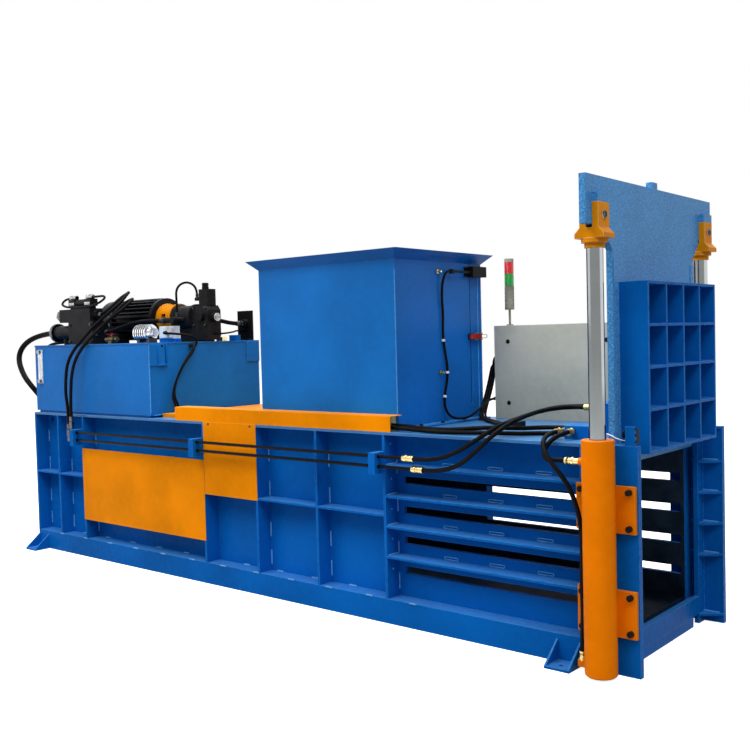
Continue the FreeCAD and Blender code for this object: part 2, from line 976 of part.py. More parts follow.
hatch_low = collar_high + d.hatch_gap
hatch_high = d.hopper_high - 2 * sheet_in - d.hatch_gap
hatch_front = hatch_seam + d.hatch_gap
hinge_x = hopper_tail - d.hinge_barrel / 2 - 2
hinge_y = hatch_seam + d.hatch_gap / 2
hinge_levels = [
    hatch_low + (hatch_high - hatch_low) * 0.15,
    hatch_low + (hatch_high - hatch_low) * 0.85,
]
hatch_pan = less(
    "hatch_pan",
    block("hatch_block", (hopper_tail, hopper_gate), (hatch_front, half_hopper), (hatch_low, hatch_high)),
    [
        block(
            "hatch_room",
            (hopper_tail + sheet_in, hopper_gate - sheet_in),
            (hatch_front - 1, half_hopper - sheet_in),
            (hatch_low + sheet_in, hatch_high - sheet_in),
        )
    ],
)
hatch_pieces = [hatch_pan]
hatch_holes = []
hardware = []
for step, level in enumerate(hinge_levels):
    low = level - d.hinge_length / 2
    half = d.hinge_length / 2
    name = "hatch_hinge_%d" % step
    hatch_pieces.append(bar(name + "_barrel", "Z", (hinge_x, hinge_y), d.hinge_barrel, (low, low + half)))
    hatch_pieces.append(
        block(
            name + "_leaf",
            (hinge_x, hopper_tail + sheet_in),
            (hinge_y + 3, hinge_y + d.hinge_barrel / 2),
            (low, low + half),
        )
    )
    hatch_holes.append(
        bar(
            name + "_bore",
            "Z",
            (hinge_x, hinge_y),
            d.hinge_pin + 2 * d.rod_clearance,
            (low - 1, low + half + 1),
        )
    )
    lower = low - half
    fixed = [
        bar(name + "_socket", "Z", (hinge_x, hinge_y), d.hinge_barrel, (lower, low - 0.3)),
        bar(name + "_pin", "Z", (hinge_x, hinge_y), d.hinge_pin, (lower, low + half + 6)),
        block(
            name + "_bracket",
            (hinge_x, hopper_tail),
            (hinge_y - d.hinge_barrel / 2, hinge_y - 3),
            (lower, low - 0.3),
        ),
    ]
    hardware.append(fused(name + "_fixed", fixed))
node("hopper_hatch", less("hopper_hatch", fused("hatch_weld", hatch_pieces), hatch_holes))

# latch: its base and lever ride on the hatch, its catch is on the hopper's wall
latch_z = size(1480)
latch_y = hatch_front + 50
latch_x = hopper_gate + 22
catch = block(
    "latch_catch",
    (hopper_gate, hopper_gate + 16),
    (hatch_seam - 40, hatch_seam - 12),
    (latch_z - 16, latch_z + 16),
)
hardware.append(catch)
node("hopper_hardware", together("hopper_hardware", hardware))
latch_base = less(
    "latch_base_body",
    fused(
        "latch_base_weld",
        [
            block("latch_foot", (hopper_gate, hopper_gate + 6), (latch_y - 22, latch_y + 34), (latch_z - 22, latch_z + 22)),
            block("latch_ear_low", (hopper_gate + 5, latch_x + 10), (latch_y - 10, latch_y + 12), (latch_z - 20, latch_z - 14)),
            block("latch_ear_high", (hopper_gate + 5, latch_x + 10), (latch_y - 10, latch_y + 12), (latch_z + 14, latch_z + 20)),
        ],
    ),
    [bar("latch_ear_hole", "Z", (latch_x, latch_y), 8 + 2 * d.rod_clearance, (latch_z - 30, latch_z + 30))],
)
node("latch_base", latch_base)
lever_arm = prism(
    "lever_arm",
    "Z",
    [
        (latch_x - 7, latch_y + 9),
        (latch_x - 7, latch_y - 12),
        (latch_x - 2, latch_y - 105),
        (latch_x + 8, latch_y - 105),
        (latch_x + 8, latch_y + 9),
    ],
    (latch_z - 13, latch_z + 13),
)
lever_pin = bar("lever_pin", "Z", (latch_x, latch_y), 8, (latch_z - 21, latch_z + 21))
node("latch_lever", fused("latch_lever", [lever_arm, lever_pin]))

# safety switch on a bracket beside the hatch seam
switch_z = size(1850)
node(
    "hatch_switch",
    together(
        "hatch_switch",
        [
            block(
                "switch_bracket",
                (hopper_gate, hopper_gate + 8),
                (hatch_seam - 70, hatch_seam - 10),
                (switch_z - 26, switch_z + 26),
            ),
            block(
                "switch_box",
                (hopper_gate + 8, hopper_gate + 48),
                (hatch_seam - 45, hatch_seam + 92),
                (switch_z - 30, switch_z + 30),
            ),
            bar(
                "switch_rod",
                "Y",
                (hopper_gate + 28, switch_z - 4),
                14,
                (hatch_seam - 210, hatch_seam - 45),
            ),
            bar(
                "switch_gland",
                "Y",
                (hopper_gate + 28, switch_z - 4),
                26,
                (hatch_seam - 240, hatch_seam - 210),
            ),
        ],
    ),
)

# ---------------------------------------------------------------- ram and main cylinder

axis_z = (d.floor_top + under_deck) / 2
ram_nose = hopper_tail - d.ram_setback
ram_back = ram_nose - d.ram_face
half_ram = half_in - d.ram_side_gap
ram_low = d.floor_top + d.ram_running_gap + d.ram_shoe
ram_high = under_deck - d.ram_side_gap
face_block = block("ram_face_block", (ram_back, ram_nose), (-half_ram, half_ram), (ram_low, ram_high))
grooves = []
for step, level in enumerate(levels):
    grooves.append(
        block(
            "ram_groove_%d" % step,
            (ram_nose - d.groove_depth, ram_nose + 1),
            (-half_ram - 1, half_ram + 1),
            slot_heights(level),
        )
    )
ram_tail = ram_nose - d.ram_body
ram_pieces = [less("ram_platen", face_block, grooves)]
for side, sign in SIDES.items():
    ram_pieces.append(
        block(
            side + "_ram_side",
            (ram_tail, ram_back),
            (sign * half_ram, sign * (half_ram - d.ram_plate)),
            (ram_low + d.ram_plate, ram_high - d.ram_plate),
        )
    )
    ram_pieces.append(
        block(
            side + "_ram_web",
            (ram_tail + d.ram_face, ram_back),
            (sign * (d.main_rod / 2 + 60), sign * (d.main_rod / 2 + 60 + d.ram_plate)),
            (ram_low + d.ram_plate, ram_high - d.ram_plate),
        )
    )
ram_pieces.append(
    block("ram_bottom", (ram_tail, ram_back), (-half_ram, half_ram), (ram_low, ram_low + d.ram_plate))
)
ram_pieces.append(
    block(
        "ram_shield_plate",
        (ram_nose - d.ram_shield, ram_back),
        (-half_ram, half_ram),
        (ram_high - d.ram_plate, ram_high),
    )
)
node("ram", together("ram", ram_pieces))
shoes = []
for side, sign in SIDES.items():
    shoes.append(
        block(
            side + "_shoe",
            (ram_tail + d.ram_plate, ram_nose - d.ram_plate),
            (sign * (half_ram - 20), sign * (half_ram - 110)),
            (d.floor_top + d.ram_running_gap, ram_low),
        )
    )
node("ram_shoes", together("ram_shoes", shoes))

main_start = tail + d.tail_plate
bore = d.main_bore / 2
rod = d.main_rod / 2
main_cap = d.main_flange_plate + 20
main_head = size(70)
flange = d.main_flange / 2
node(
    "main_cylinder",
    turned(
        "main_cylinder",
        "X",
        [
            (0, 0),
            (flange, 0),
            (flange, d.main_flange_plate),
            (d.main_barrel / 2, d.main_flange_plate),
            (d.main_barrel / 2, d.main_length - 90),
            (d.main_barrel / 2 + 18, d.main_length - 80),
            (d.main_barrel / 2 + 18, d.main_length - 10),
            (d.main_barrel / 2 + 8, d.main_length),
            (rod + d.rod_clearance, d.main_length),
            (rod + d.rod_clearance, d.main_length - main_head),
            (bore, d.main_length - main_head),
            (bore, main_cap),
            (0, main_cap),
        ],
        (main_start, 0, axis_z),
    ),
)
piston_start = main_start + main_cap + 20
rod_length = ram_back - piston_start
rod_foot = size(180)
node(
    "ram_rod",
    turned(
        "ram_rod",
        "X",
        [
            (0, 0),
            (bore - d.rod_clearance, 0),
            (bore - d.rod_clearance, 70),
            (rod, 70),
            (rod, rod_length - 40),
            (rod_foot / 2, rod_length - 30),
            (rod_foot / 2, rod_length),
            (0, rod_length),
        ],
        (piston_start, 0, axis_z),
    ),
)

# ---------------------------------------------------------------- oil tank

tank_tail = tail + d.tank_at
tank_gate = tank_tail + d.tank_length
half_tank = d.tank_width / 2
tank_low = d.frame_height + d.tank_pad
tank_pieces = [
    block("tank_box", (tank_tail, tank_gate), (-half_tank, half_tank), (tank_low, d.tank_high - d.tank_lid)),
    block(
        "tank_lid_plate",
        (tank_tail - 4, tank_gate + 4),
        (-half_tank - 4, half_tank + 4),
        (d.tank_high - d.tank_lid, d.tank_high),
    ),
]
for side, sign in SIDES.items():
    tank_pieces.append(
        block(
            side + "_tank_pad",
            (tank_tail + 20, tank_gate - 20),
            (sign * (half_tank - 10), sign * (half_tank - 80)),
            (d.frame_height, tank_low),
        )
    )
    tank_pieces.append(
        block(
            side + "_tank_corner",
            (tank_gate, tank_gate + 8),
            (sign * half_tank, sign * (half_tank - 120)),
            (d.tank_high - 150, d.tank_high - d.tank_lid),
        )
    )
node("oil_tank", fused("oil_tank", tank_pieces))
gauge_x = tank_tail + 75
gauge_y = -half_tank
node(
    "level_gauge",
    fused(
        "level_gauge",
        [
            block("gauge_strip", (gauge_x - 22, gauge_x + 22), (gauge_y, gauge_y - 8), (1212, 1458)),
            bar("gauge_tube", "Z", (gauge_x, gauge_y - 14), 20, (1236, 1434)),
            block("gauge_low_block", (gauge_x - 16, gauge_x + 16), (gauge_y, gauge_y - 26), (1216, 1240)),
            block("gauge_high_block", (gauge_x - 16, gauge_x + 16), (gauge_y, gauge_y - 26), (1430, 1454)),
        ],
    ),
)

# ---------------------------------------------------------------- motor, bell housing and pump

line = (d.motor_y, d.motor_z)
motor_start = tail + d.motor_at
motor_stop = tail + d.bell_at
fan_start = tail + d.fan_cover_at
pump_start = tail + d.pump_at
pump_stop = tail + d.pump_end
fin_reach = d.motor_frame / 2 + d.motor_fin

frame_tube = bar("motor_tube", "X", line, d.motor_frame, (motor_start, motor_stop))
fins = []
for step in range(int(d.fin_count.value)):
    fin = doc.addObject("Part::Box", "motor_fin_%d" % step)
    fin.setExpression("Length", (motor_stop - motor_start - 60).text)
    fin.setExpression("Width", d.fin_width.text)
    fin.setExpression("Height", (d.motor_fin + 6).text)
    turn = FreeCAD.Rotation(FreeCAD.Vector(1, 0, 0), 360.0 * (step + 0.5) / d.fin_count.value)
    angle = math.radians(360.0 * (step + 0.5) / d.fin_count.value)
    fin.Placement = FreeCAD.Placement(FreeCAD.Vector(), turn)
    root = d.motor_frame / 2 - 6
    place(
        fin,
        motor_start + 30,
        d.motor_y - root * math.sin(angle) - d.fin_width / 2 * math.cos(angle),
        d.motor_z + root * math.cos(angle) - d.fin_width / 2 * math.sin(angle),
    )
    fins.append(fin)
motor_feet = []
for step, start in enumerate((motor_start + 70, motor_stop - 130)):
    for side, sign in SIDES.items():
        motor_feet.append(
            block(
                "motor_foot_%d_%s" % (step, side),
                (start, start + 60),
                (d.motor_y + sign * 60, d.motor_y + sign * 150),
                (d.tank_high, d.motor_z - 100),
            )
        )
end_rings = [
    bar("motor_end_a", "X", line, d.fan_cover - 8, (motor_start, motor_start + 30)),
    bar("motor_end_b", "X", line, d.motor_flange, (motor_stop - 30, motor_stop)),
]
shaft_bore = bar(
    "motor_bore",
    "X",
    line,
    d.motor_shaft + 2 * d.rod_clearance,
    (motor_start - 1, motor_stop + 1),
)
node(
    "motor_body",
    less("motor_body", fused("motor_weld", [frame_tube] + fins + motor_feet + end_rings), [shaft_bore]),
)

cover_length = motor_start - fan_start
cover_r = d.fan_cover / 2
cover_in = cover_r - d.cover_sheet
cover_shell = turned(
    "fan_cover_shell",
    "X",
    [
        (0, 0),
        (cover_r - 25, 0),
        (cover_r, 25),
        (cover_r, cover_length),
        (cover_in, cover_length),
        (cover_in, 26),
        (cover_r - 26, d.cover_sheet),
        (0, d.cover_sheet),
    ],
    (fan_start, d.motor_y, d.motor_z),
)
vents = []
for ring, (radius, count) in enumerate(((45, 6), (85, 10))):
    for step in range(count):
        angle = 2 * math.pi * step / count
        vents.append(
            bar(
                "vent_%d_%d" % (ring, step),
                "X",
                (d.motor_y + radius * math.sin(angle), d.motor_z + radius * math.cos(angle)),
                30,
                (fan_start - 1, fan_start + d.cover_sheet + 1),
            )
        )
node("fan_cover", less("fan_cover", cover_shell, vents))

blades = [
    bar("fan_hub", "X", line, 80, (fan_start + 45, fan_start + 115)),
    bar("rotor_shaft", "X", line, d.motor_shaft, (fan_start + 45, pump_start - 20)),
    bar("coupling_half", "X", line, 100, (motor_stop + 35, pump_start - 60)),
]
for step in range(6):
    blade = doc.addObject("Part::Box", "fan_blade_%d" % step)
    blade.setExpression("Length", "60")
    blade.setExpression("Width", "5")
    blade.setExpression("Height", "90")
    turn = FreeCAD.Rotation(FreeCAD.Vector(1, 0, 0), 60.0 * step)
    angle = math.radians(60.0 * step)
    blade.Placement = FreeCAD.Placement(FreeCAD.Vector(), turn)
    place(
        blade,
        fan_start + 50,
        d.motor_y - 35 * math.sin(angle) - 2.5 * math.cos(angle),
        d.motor_z + 35 * math.cos(angle) - 2.5 * math.sin(angle),
    )
    blades.append(blade)
node("motor_rotor", fused("motor_rotor", blades))

bell_length = pump_start - motor_stop
bell_windows = [
    block(
        "bell_window_side",
        (motor_stop + 45, pump_start - 55),
        (d.motor_y - d.bell_flange, d.motor_y + d.bell_flange),
        (d.motor_z - 32, d.motor_z + 32),
    )
]
node(
    "bell_housing",
    less(
        "bell_housing",
        turned(
            "bell_shell",
            "X",
            [
                (68, 0),
                (d.bell_flange / 2, 0),
                (d.bell_flange / 2, 14),
                (d.bell_neck / 2, 26),
                (d.bell_neck / 2, bell_length - 22),
                (d.bell_neck / 2 + 8, bell_length - 14),
                (d.bell_neck / 2 + 8, bell_length),
                (40, bell_length),
                (40, bell_length - 14),
                (68, bell_length - 30),
            ],
            (motor_stop, d.motor_y, d.motor_z),
        ),
        bell_windows,
    ),
)

control_x = (pump_stop, tail + d.control_end)
pump_pieces = [
    turned(
        "pump_barrel",
        "X",
        [
            (0, 0),
            (95, 0),
            (95, 22),
            (84, 30),
            (84, pump_stop - pump_start - 30),
            (92, pump_stop - pump_start - 22),
            (92, pump_stop - pump_start + 2),
            (0, pump_stop - pump_start + 2),
        ],
        (pump_start, d.motor_y, d.motor_z),
    ),
    prism(
        "pump_tower",
        "Y",
        [
            (control_x[0], 1520),
            (control_x[0] + 30, 1500),
            (control_x[1] - 20, 1500),
            (control_x[1], 1530),
            (control_x[1], 1705),
            (control_x[1] - 24, 1738),
            (control_x[0] + 24, 1738),
            (control_x[0], 1715),
        ],
        (d.motor_y - 60, d.motor_y + 60),
    ),
    block("pump_regulator", (control_x[0] + 60, control_x[0] + 150), (d.motor_y - 40, d.motor_y + 35), (1737, 1850)),
    bar("pump_knob", "Z", (control_x[0] + 85, d.motor_y), 44, (1849, 1892)),
    bar("pump_plug", "Y", (control_x[0] + 105, 1662), 62, (d.motor_y - 59, d.motor_y - 84)),
    bar("pump_outlet", "X", (d.motor_y, 1655), 66, (control_x[1] - 5, control_x[1] + 34)),
    block("pump_foot", (pump_start + 40, pump_stop + 120), (d.motor_y - 40, d.motor_y + 40), (d.tank_high, 1582)),
    bar("pump_delivery_port", "Y", (tail + 1153, 1642), 44, (-124, d.motor_y - 60)),
    bar("pump_delivery_nut", "X", (-105, 1642), 38, (tail + 1038, tail + 1153)),
    bar("pump_pilot_port", "Y", (tail + 1134, 1628), 24, (-72, d.motor_y - 60)),
    bar("pump_pilot_nut", "Z", (tail + 1134, -60), 20, (1628, 1676)),
    bar("control_pilot_port", "X", (35, 1785), 24, (tail + 1226, control_x[0] + 62)),
    bar("control_pilot_nut", "Z", (tail + 1241, 35), 20, (1785, 1805)),
    bar("control_return_port", "Y", (tail + 1249, 1640), 48, (d.motor_y + 50, 130)),
    bar("control_drain_port", "X", (60, 1540), 20, (control_x[1] - 5, control_x[1] + 14)),
]
node("pump", fused("pump", pump_pieces))

# ---------------------------------------------------------------- valves and fittings on the tank

valve_x = (tail + 320, tail + 620)
valve_y = (size(-400), size(-270))
valve_pieces = [
    block("valve_block_body", valve_x, valve_y, (d.tank_high, 1652)),
    block("valve_upper_body", (tail + 190, tail + 575), (-388, -282), (1651, 1745)),
    bar("valve_hex_cap", "X", (-335, 1700), 74, (tail + 130, tail + 191)),
    bar("valve_right_cap", "X", (-335, 1700), 62, (tail + 574, tail + 612)),
    bar("valve_low_body", "X", (-330, 1578), 104, (tail + 87, tail + 321)),
    bar("valve_low_flange", "X", (-330, 1578), 132, (tail + 58, tail + 88)),
    bar("valve_low_port", "X", (-330, 1578), 58, (tail + 32, tail + 59)),
    bar("valve_down_pipe", "Z", (tail + 200, -330), 60, (d.tank_high, 1550)),
    bar("valve_pilot_body", "X", (-335, 1788), 56, (tail + 340, tail + 490)),
    block("valve_pilot_foot", (tail + 300, tail + 530), (-366, -304), (1744, 1764)),
    bar("valve_drain_port", "X", (-290, 1508), 26, (tail + 130, tail + 325)),
    block("pilot_coil_left", (tail + 278, tail + 350), (-366, -304), (1763, 1815)),
    block("pilot_coil_right", (tail + 480, tail + 552), (-366, -304), (1763, 1815)),
    bar("pilot_plug_left", "X", (-335, 1827), 30, (tail + 270, tail + 345)),
    bar("pilot_plug_right", "X", (-335, 1827), 30, (tail + 470, tail + 545)),
]
node("valve_block", fused("valve_block", valve_pieces))

filter_profile = [(0, 0), (34, 0), (34, 14)]
for step in range(6):
    base = 18 + step * 23
    filter_profile += [(40, base), (56, base), (56, base + 11), (40, base + 11)]
filter_profile += [(34, 163), (34, 177), (26, 177), (26, 193), (0, 193)]
node(
    "return_filter",
    fused(
        "return_filter",
        [
            turned("filter_can", "X", filter_profile, (tail + 1131, -392, 1556)),
            block("filter_seat_a", (tail + 1160, tail + 1190), (-424, -360), (d.tank_high, 1520)),
            block("filter_seat_b", (tail + 1265, tail + 1295), (-424, -360), (d.tank_high, 1520)),
        ],
    ),
)
box_x = (tail + 1120, tail + 1270)
node(
    "terminal_box",
    fused(
        "terminal_box",
        [
            block("terminal_case", box_x, (-205, -150), (1516, 1600)),
            block("terminal_lid", (box_x[0] + 6, box_x[1] - 6), (-212, -205), (1522, 1594)),
            block("terminal_bracket", (box_x[0] - 10, box_x[1] + 12), (-200, -150), (d.tank_high, 1516)),
            bar("terminal_gland", "Y", (box_x[0] + 102, 1555), 24, (-226, -212)),
        ],
    ),
)
ball_x = tail + 835
node(
    "ball_valve",
    fused(
        "ball_valve",
        [
            bar("ball_body", "X", (-392, 1520), 44, (ball_x - 34, ball_x + 34)),
            bar("ball_ends", "X", (-392, 1520), 30, (ball_x - 66, ball_x + 66)),
            block("ball_seat", (ball_x - 18, ball_x + 18), (-412, -372), (d.tank_high, 1520)),
            bar("ball_stem", "Z", (ball_x, -392), 16, (1530, 1551)),
        ],
    ),
)
lever = prism(
    "ball_lever_arm",
    "Z",
    [
        (ball_x - 52, -402),
        (ball_x + 44, -404),
        (ball_x + 44, -380),
        (ball_x - 52, -382),
    ],
    (1551.3, 1558),
)
node("ball_valve_lever", fused("ball_valve_lever", [lever, bar("ball_lever_nut", "Z", (ball_x, -392), 16, (1557, 1566))]))

node(
    "return_block",
    together(
        "return_block",
        [
            fused(
                "bulkhead",
                [
                    block("bulkhead_plate", (tail + 1200, tail + 1358), (440, 448), (d.tank_high, 1704)),
                    block("bulkhead_foot", (tail + 1200, tail + 1358), (400, 448), (d.tank_high, 1498)),
                    bar("bulkhead_union", "Y", (tail + 1288, 1612), 62, (408, 441)),
                    bar("bulkhead_nut", "Y", (tail + 1288, 1612), 44, (380, 409)),
                    bar("bulkhead_small", "Y", (tail + 1278, 1560), 22, (405, 441)),
                ],
            ),
            block("return_manifold", (tail + 1273, tail + 1345), (290, 332), (d.tank_high, 1530)),
            block("return_brass", (tail + 1243, tail + 1308), (195, 235), (d.tank_high, 1518)),
        ],
    ),
)

# ---------------------------------------------------------------- sheet covers

cover_face = half_rib + d.cover
node(
    "side_covers",
    together(
        "side_covers",
        [
            block(
                "lower_side_cover",
                (tail + d.rib_three - d.rib, tail + d.rib_four),
                (-half_rib, -cover_face),
                (d.side_cover_low, d.side_cover_high),
            ),
            block(
                "upper_side_cover",
                (tail + d.rib_four + 4, tail + d.rib_five),
                (-half_rib, -cover_face),
                (d.upper_cover_low, d.frame_height),
            ),
        ],
    ),
)
channel_y = (-half_rib, -half_hopper - 0.3)
channel_x = (tail + d.channel_at, tail + d.channel_end)
channel = less(
    "channel_cover",
    block("channel_block", channel_x, channel_y, (d.frame_height, d.channel_high)),
    [
        block(
            "channel_room",
            (channel_x[0] + d.cover, channel_x[1] + 1),
            (channel_y[0] + d.cover, channel_y[1] + 1),
            (d.frame_height - 1, d.channel_high - d.cover),
        )
    ],
)
bay_x = (tank_gate + 12, hopper_tail - d.hopper_flange - 2)
bay_y = (size(-398), size(480))
bay_cover = less(
    "bay_cover",
    block("bay_block", bay_x, bay_y, (d.frame_height, d.bay_cover_high)),
    [
        block(
            "bay_room",
            (bay_x[0] + d.cover, bay_x[1] - d.cover),
            (bay_y[0] + d.cover, bay_y[1] - d.cover),
            (d.frame_height - 1, d.bay_cover_high - d.cover),
        )
    ],
)
node("top_covers", together("top_covers", [channel, bay_cover]))

# ---------------------------------------------------------------- pipes along the side

pipe_y = -(half_rib + d.pipe_reach)
pipe_heights = {"upper": d.upper_pipe, "lower": d.lower_pipe}
pipe_ends = {"upper": (tail + 578, tail + 3504), "lower": (tail + 554, tail + 3561)}
elbow_reach = {"upper": 16, "lower": 24}
clamp_faces = [d.rib_three, d.rib_four, d.rib_seven]
pipes = []
fittings = []
for which, height in pipe_heights.items():
    start, stop = pipe_ends[which]
    pipes.append(bar(which + "_pipe", "X", (pipe_y, height), d.pipe, (start, stop)))
    turn = start - elbow_reach[which]
    elbow = [
        bar(which + "_elbow", "Z", (turn, pipe_y), 24, (height - 14, height + 26)),
        bar(which + "_elbow_collar", "X", (pipe_y, height), 24, (turn, start)),
        bar(which + "_elbow_nut", "Z", (turn, pipe_y), 30, (height + 26, height + 70)),
    ]
    fittings.append(fused(which + "_elbow_piece", elbow))
    fittings.append(bar(which + "_union", "X", (pipe_y, height), 30, (stop, stop + 66)))
node("side_pipes", together("side_pipes", pipes))
clamps = []
for step, face in enumerate(clamp_faces):
    xs = (tail + face - d.clamp_width, tail + face)
    body = block(
        "clamp_body_%d" % step,
        xs,
        (-half_rib - (d.cover if step == 1 else 0), -half_rib - d.clamp_reach),
        (d.clamp_low, d.clamp_high),
    )
    holes = [
        bar(
            "clamp_hole_%d_%s" % (step, which),
            "X",
            (pipe_y, height),
            d.pipe + 2 * d.pipe_clearance,
            (xs[0] - 1, xs[1] + 1),
        )
        for which, height in pipe_heights.items()
    ]
    clamps.append(less("clamp_%d" % step, body, holes))
node("pipe_clamps", together("pipe_clamps", clamps))

# ---------------------------------------------------------------- cabinet and signal tower

cabinet_x = (gate_end - d.cabinet_at, gate_end - d.cabinet_at + d.cabinet_length)
cabinet_back = d.cabinet_face + d.cabinet_depth
door_face = cabinet_back - d.cabinet_door
case = less(
    "cabinet_case",
    block("cabinet_block", cabinet_x, (d.cabinet_face, door_face - 2), (d.frame_height, d.cabinet_high)),
    [
        block(
            "cabinet_room",
            (cabinet_x[0] + d.cabinet_sheet, cabinet_x[1] - d.cabinet_sheet),
            (d.cabinet_face + d.cabinet_sheet, door_face),
            (d.frame_height + d.cabinet_sheet, d.cabinet_high - d.cabinet_sheet),
        )
    ],
)
mounting = block(
    "cabinet_mounting_plate",
    (cabinet_x[0] + 40, cabinet_x[1] - 40),
    (d.cabinet_face + d.cabinet_sheet, d.cabinet_face + d.cabinet_sheet + 12),
    (d.frame_height + 40, d.cabinet_high - 40),
)
cabinet_hinge_x = cabinet_x[1] + 12
cabinet_hinge_y = door_face + d.cabinet_door / 2
cabinet_pieces = [case, mounting]
door_holes = []
door_pieces = [
    block(
        "cabinet_door_panel",
        cabinet_x,
        (door_face, cabinet_back),
        (d.frame_height + 3, d.cabinet_high),
    )
]
for step, level in enumerate((1120, 1420)):
    name = "cabinet_hinge_%d" % step
    cabinet_pieces.append(
        fused(
            name + "_fixed",
            [
                bar(name + "_pin", "Z", (cabinet_hinge_x, cabinet_hinge_y), 8, (level - 30, level + 32)),
                bar(name + "_knuckle", "Z", (cabinet_hinge_x, cabinet_hinge_y), 16, (level - 30, level - 0.3)),
                block(
                    name + "_leaf",
                    (cabinet_x[1], cabinet_hinge_x),
                    (cabinet_hinge_y - 30, cabinet_hinge_y - 4),
                    (level - 30, level - 0.3),
                ),
            ],
        )
    )
    door_pieces.append(bar(name + "_door_knuckle", "Z", (cabinet_hinge_x, cabinet_hinge_y), 16, (level, level + 30)))
    door_pieces.append(
        block(
            name + "_door_leaf",
            (cabinet_x[1] - 2, cabinet_hinge_x),
            (cabinet_hinge_y, cabinet_hinge_y + 8),
            (level, level + 30),
        )
    )
    door_holes.append(
        bar(
            name + "_bore",
            "Z",
            (cabinet_hinge_x, cabinet_hinge_y),
            8 + 2 * d.rod_clearance,
            (level - 1, level + 31),
        )
    )
node("cabinet_case", together("cabinet_body", cabinet_pieces))
handle_x = cabinet_x[0] + 45
handle_z = (d.frame_height + d.cabinet_high) / 2
door_holes.append(
    bar("handle_bore", "Y", (handle_x, handle_z), 14 + 2 * d.rod_clearance, (door_face - 1, cabinet_back + 1))
)
node("cabinet_door", less("cabinet_door_body", fused("cabinet_door_weld", door_pieces), door_holes))
node(
    "door_handle",
    fused(
        "door_handle_body",
        [
            bar("handle_spindle", "Y", (handle_x, handle_z), 14, (door_face, cabinet_back + 10)),
            block("handle_grip", (handle_x - 10, handle_x + 10), (cabinet_back + 4, cabinet_back + 18), (handle_z - 90, handle_z + 18)),
        ],
    ),
)
arms = []
for step, start in enumerate((cabinet_x[0] + 90, cabinet_x[1] - 102)):
    corners = [
        (half_rib, d.frame_height),
        (cabinet_back - 30, d.frame_height),
        (cabinet_back - 30, d.frame_height - 16),
        (half_rib, levels[3] - d.level_bar),
    ]
    arms.append(prism("cabinet_arm_%d" % step, "X", corners, (start, start + d.level_bar)))
node("cabinet_arms", together("cabinet_arms", arms))

tower_x = cabinet_x[0] + d.tower_at
tower_axis = (tower_x, d.tower_y)
tower = fused(
    "tower_body_weld",
    [
        bar("tower_foot", "Z", tower_axis, 40, (d.cabinet_high, d.cabinet_high + 8)),
        bar("tower_pole", "Z", tower_axis, d.tower_pole, (d.cabinet_high, d.tower_pole_high + 2)),
        bar("tower_body", "Z", tower_axis, d.tower_diameter, (d.tower_pole_high, d.tower_body_high)),
    ],
)
green_low = d.tower_body_high + d.lens_gap
red_low = green_low + d.lens_height + d.lens_gap
cap_low = red_low + d.lens_height
core = bar("tower_core", "Z", tower_axis, d.tower_diameter - 8, (d.tower_body_high - 1, cap_low + 1))
tower_cap = bar("tower_cap", "Z", tower_axis, d.tower_diameter, (cap_low, cap_low + 20))
node("signal_tower", fused("signal_tower", [tower, core, tower_cap]))
lenses = []
for colour, low in (("green", green_low), ("red", red_low)):
    outer = bar(colour + "_lens_outer", "Z", tower_axis, d.tower_diameter, (low, low + d.lens_height - 0.3))
    inner = bar(colour + "_lens_bore", "Z", tower_axis, d.tower_diameter - 7, (low - 1, low + d.lens_height + 1))
    lenses.append(less(colour + "_lens", outer, [inner]))
node("tower_lenses", together("tower_lenses", lenses))

# ---------------------------------------------------------------- distributor and limit switch

distributor_x = (gate_end - d.block_start, gate_end - d.block_end)
far_block_x = (gate_end - d.far_block_start, gate_end - d.far_block_end)
node(
    "distributor",
    together(
        "distributor",
        [
            block("distributor_block", distributor_x, (-370, -250), (d.frame_height, 1062)),
            block("far_distributor", far_block_x, (-80, 60), (d.frame_height, 1145)),
        ],
    ),
)
switch_x = gate_end - 12
node(
    "limit_switch",
    together(
        "limit_switch",
        [
            block(
                "limit_bracket",
                (switch_x - 46, switch_x),
                (-half_rib + 2, -half_rib + 10),
                (d.frame_height, d.frame_height + 84),
            ),
            block(
                "limit_body",
                (switch_x - 40, switch_x - 4),
                (-half_rib + 10, -half_rib + 50),
                (d.frame_height + 8, d.frame_height + 70),
            ),
            bar(
                "limit_roller",
                "X",
                (-half_rib + 30, d.frame_height + 48),
                34,
                (switch_x - 56, switch_x - 40.0),
            ),
        ],
    ),
)

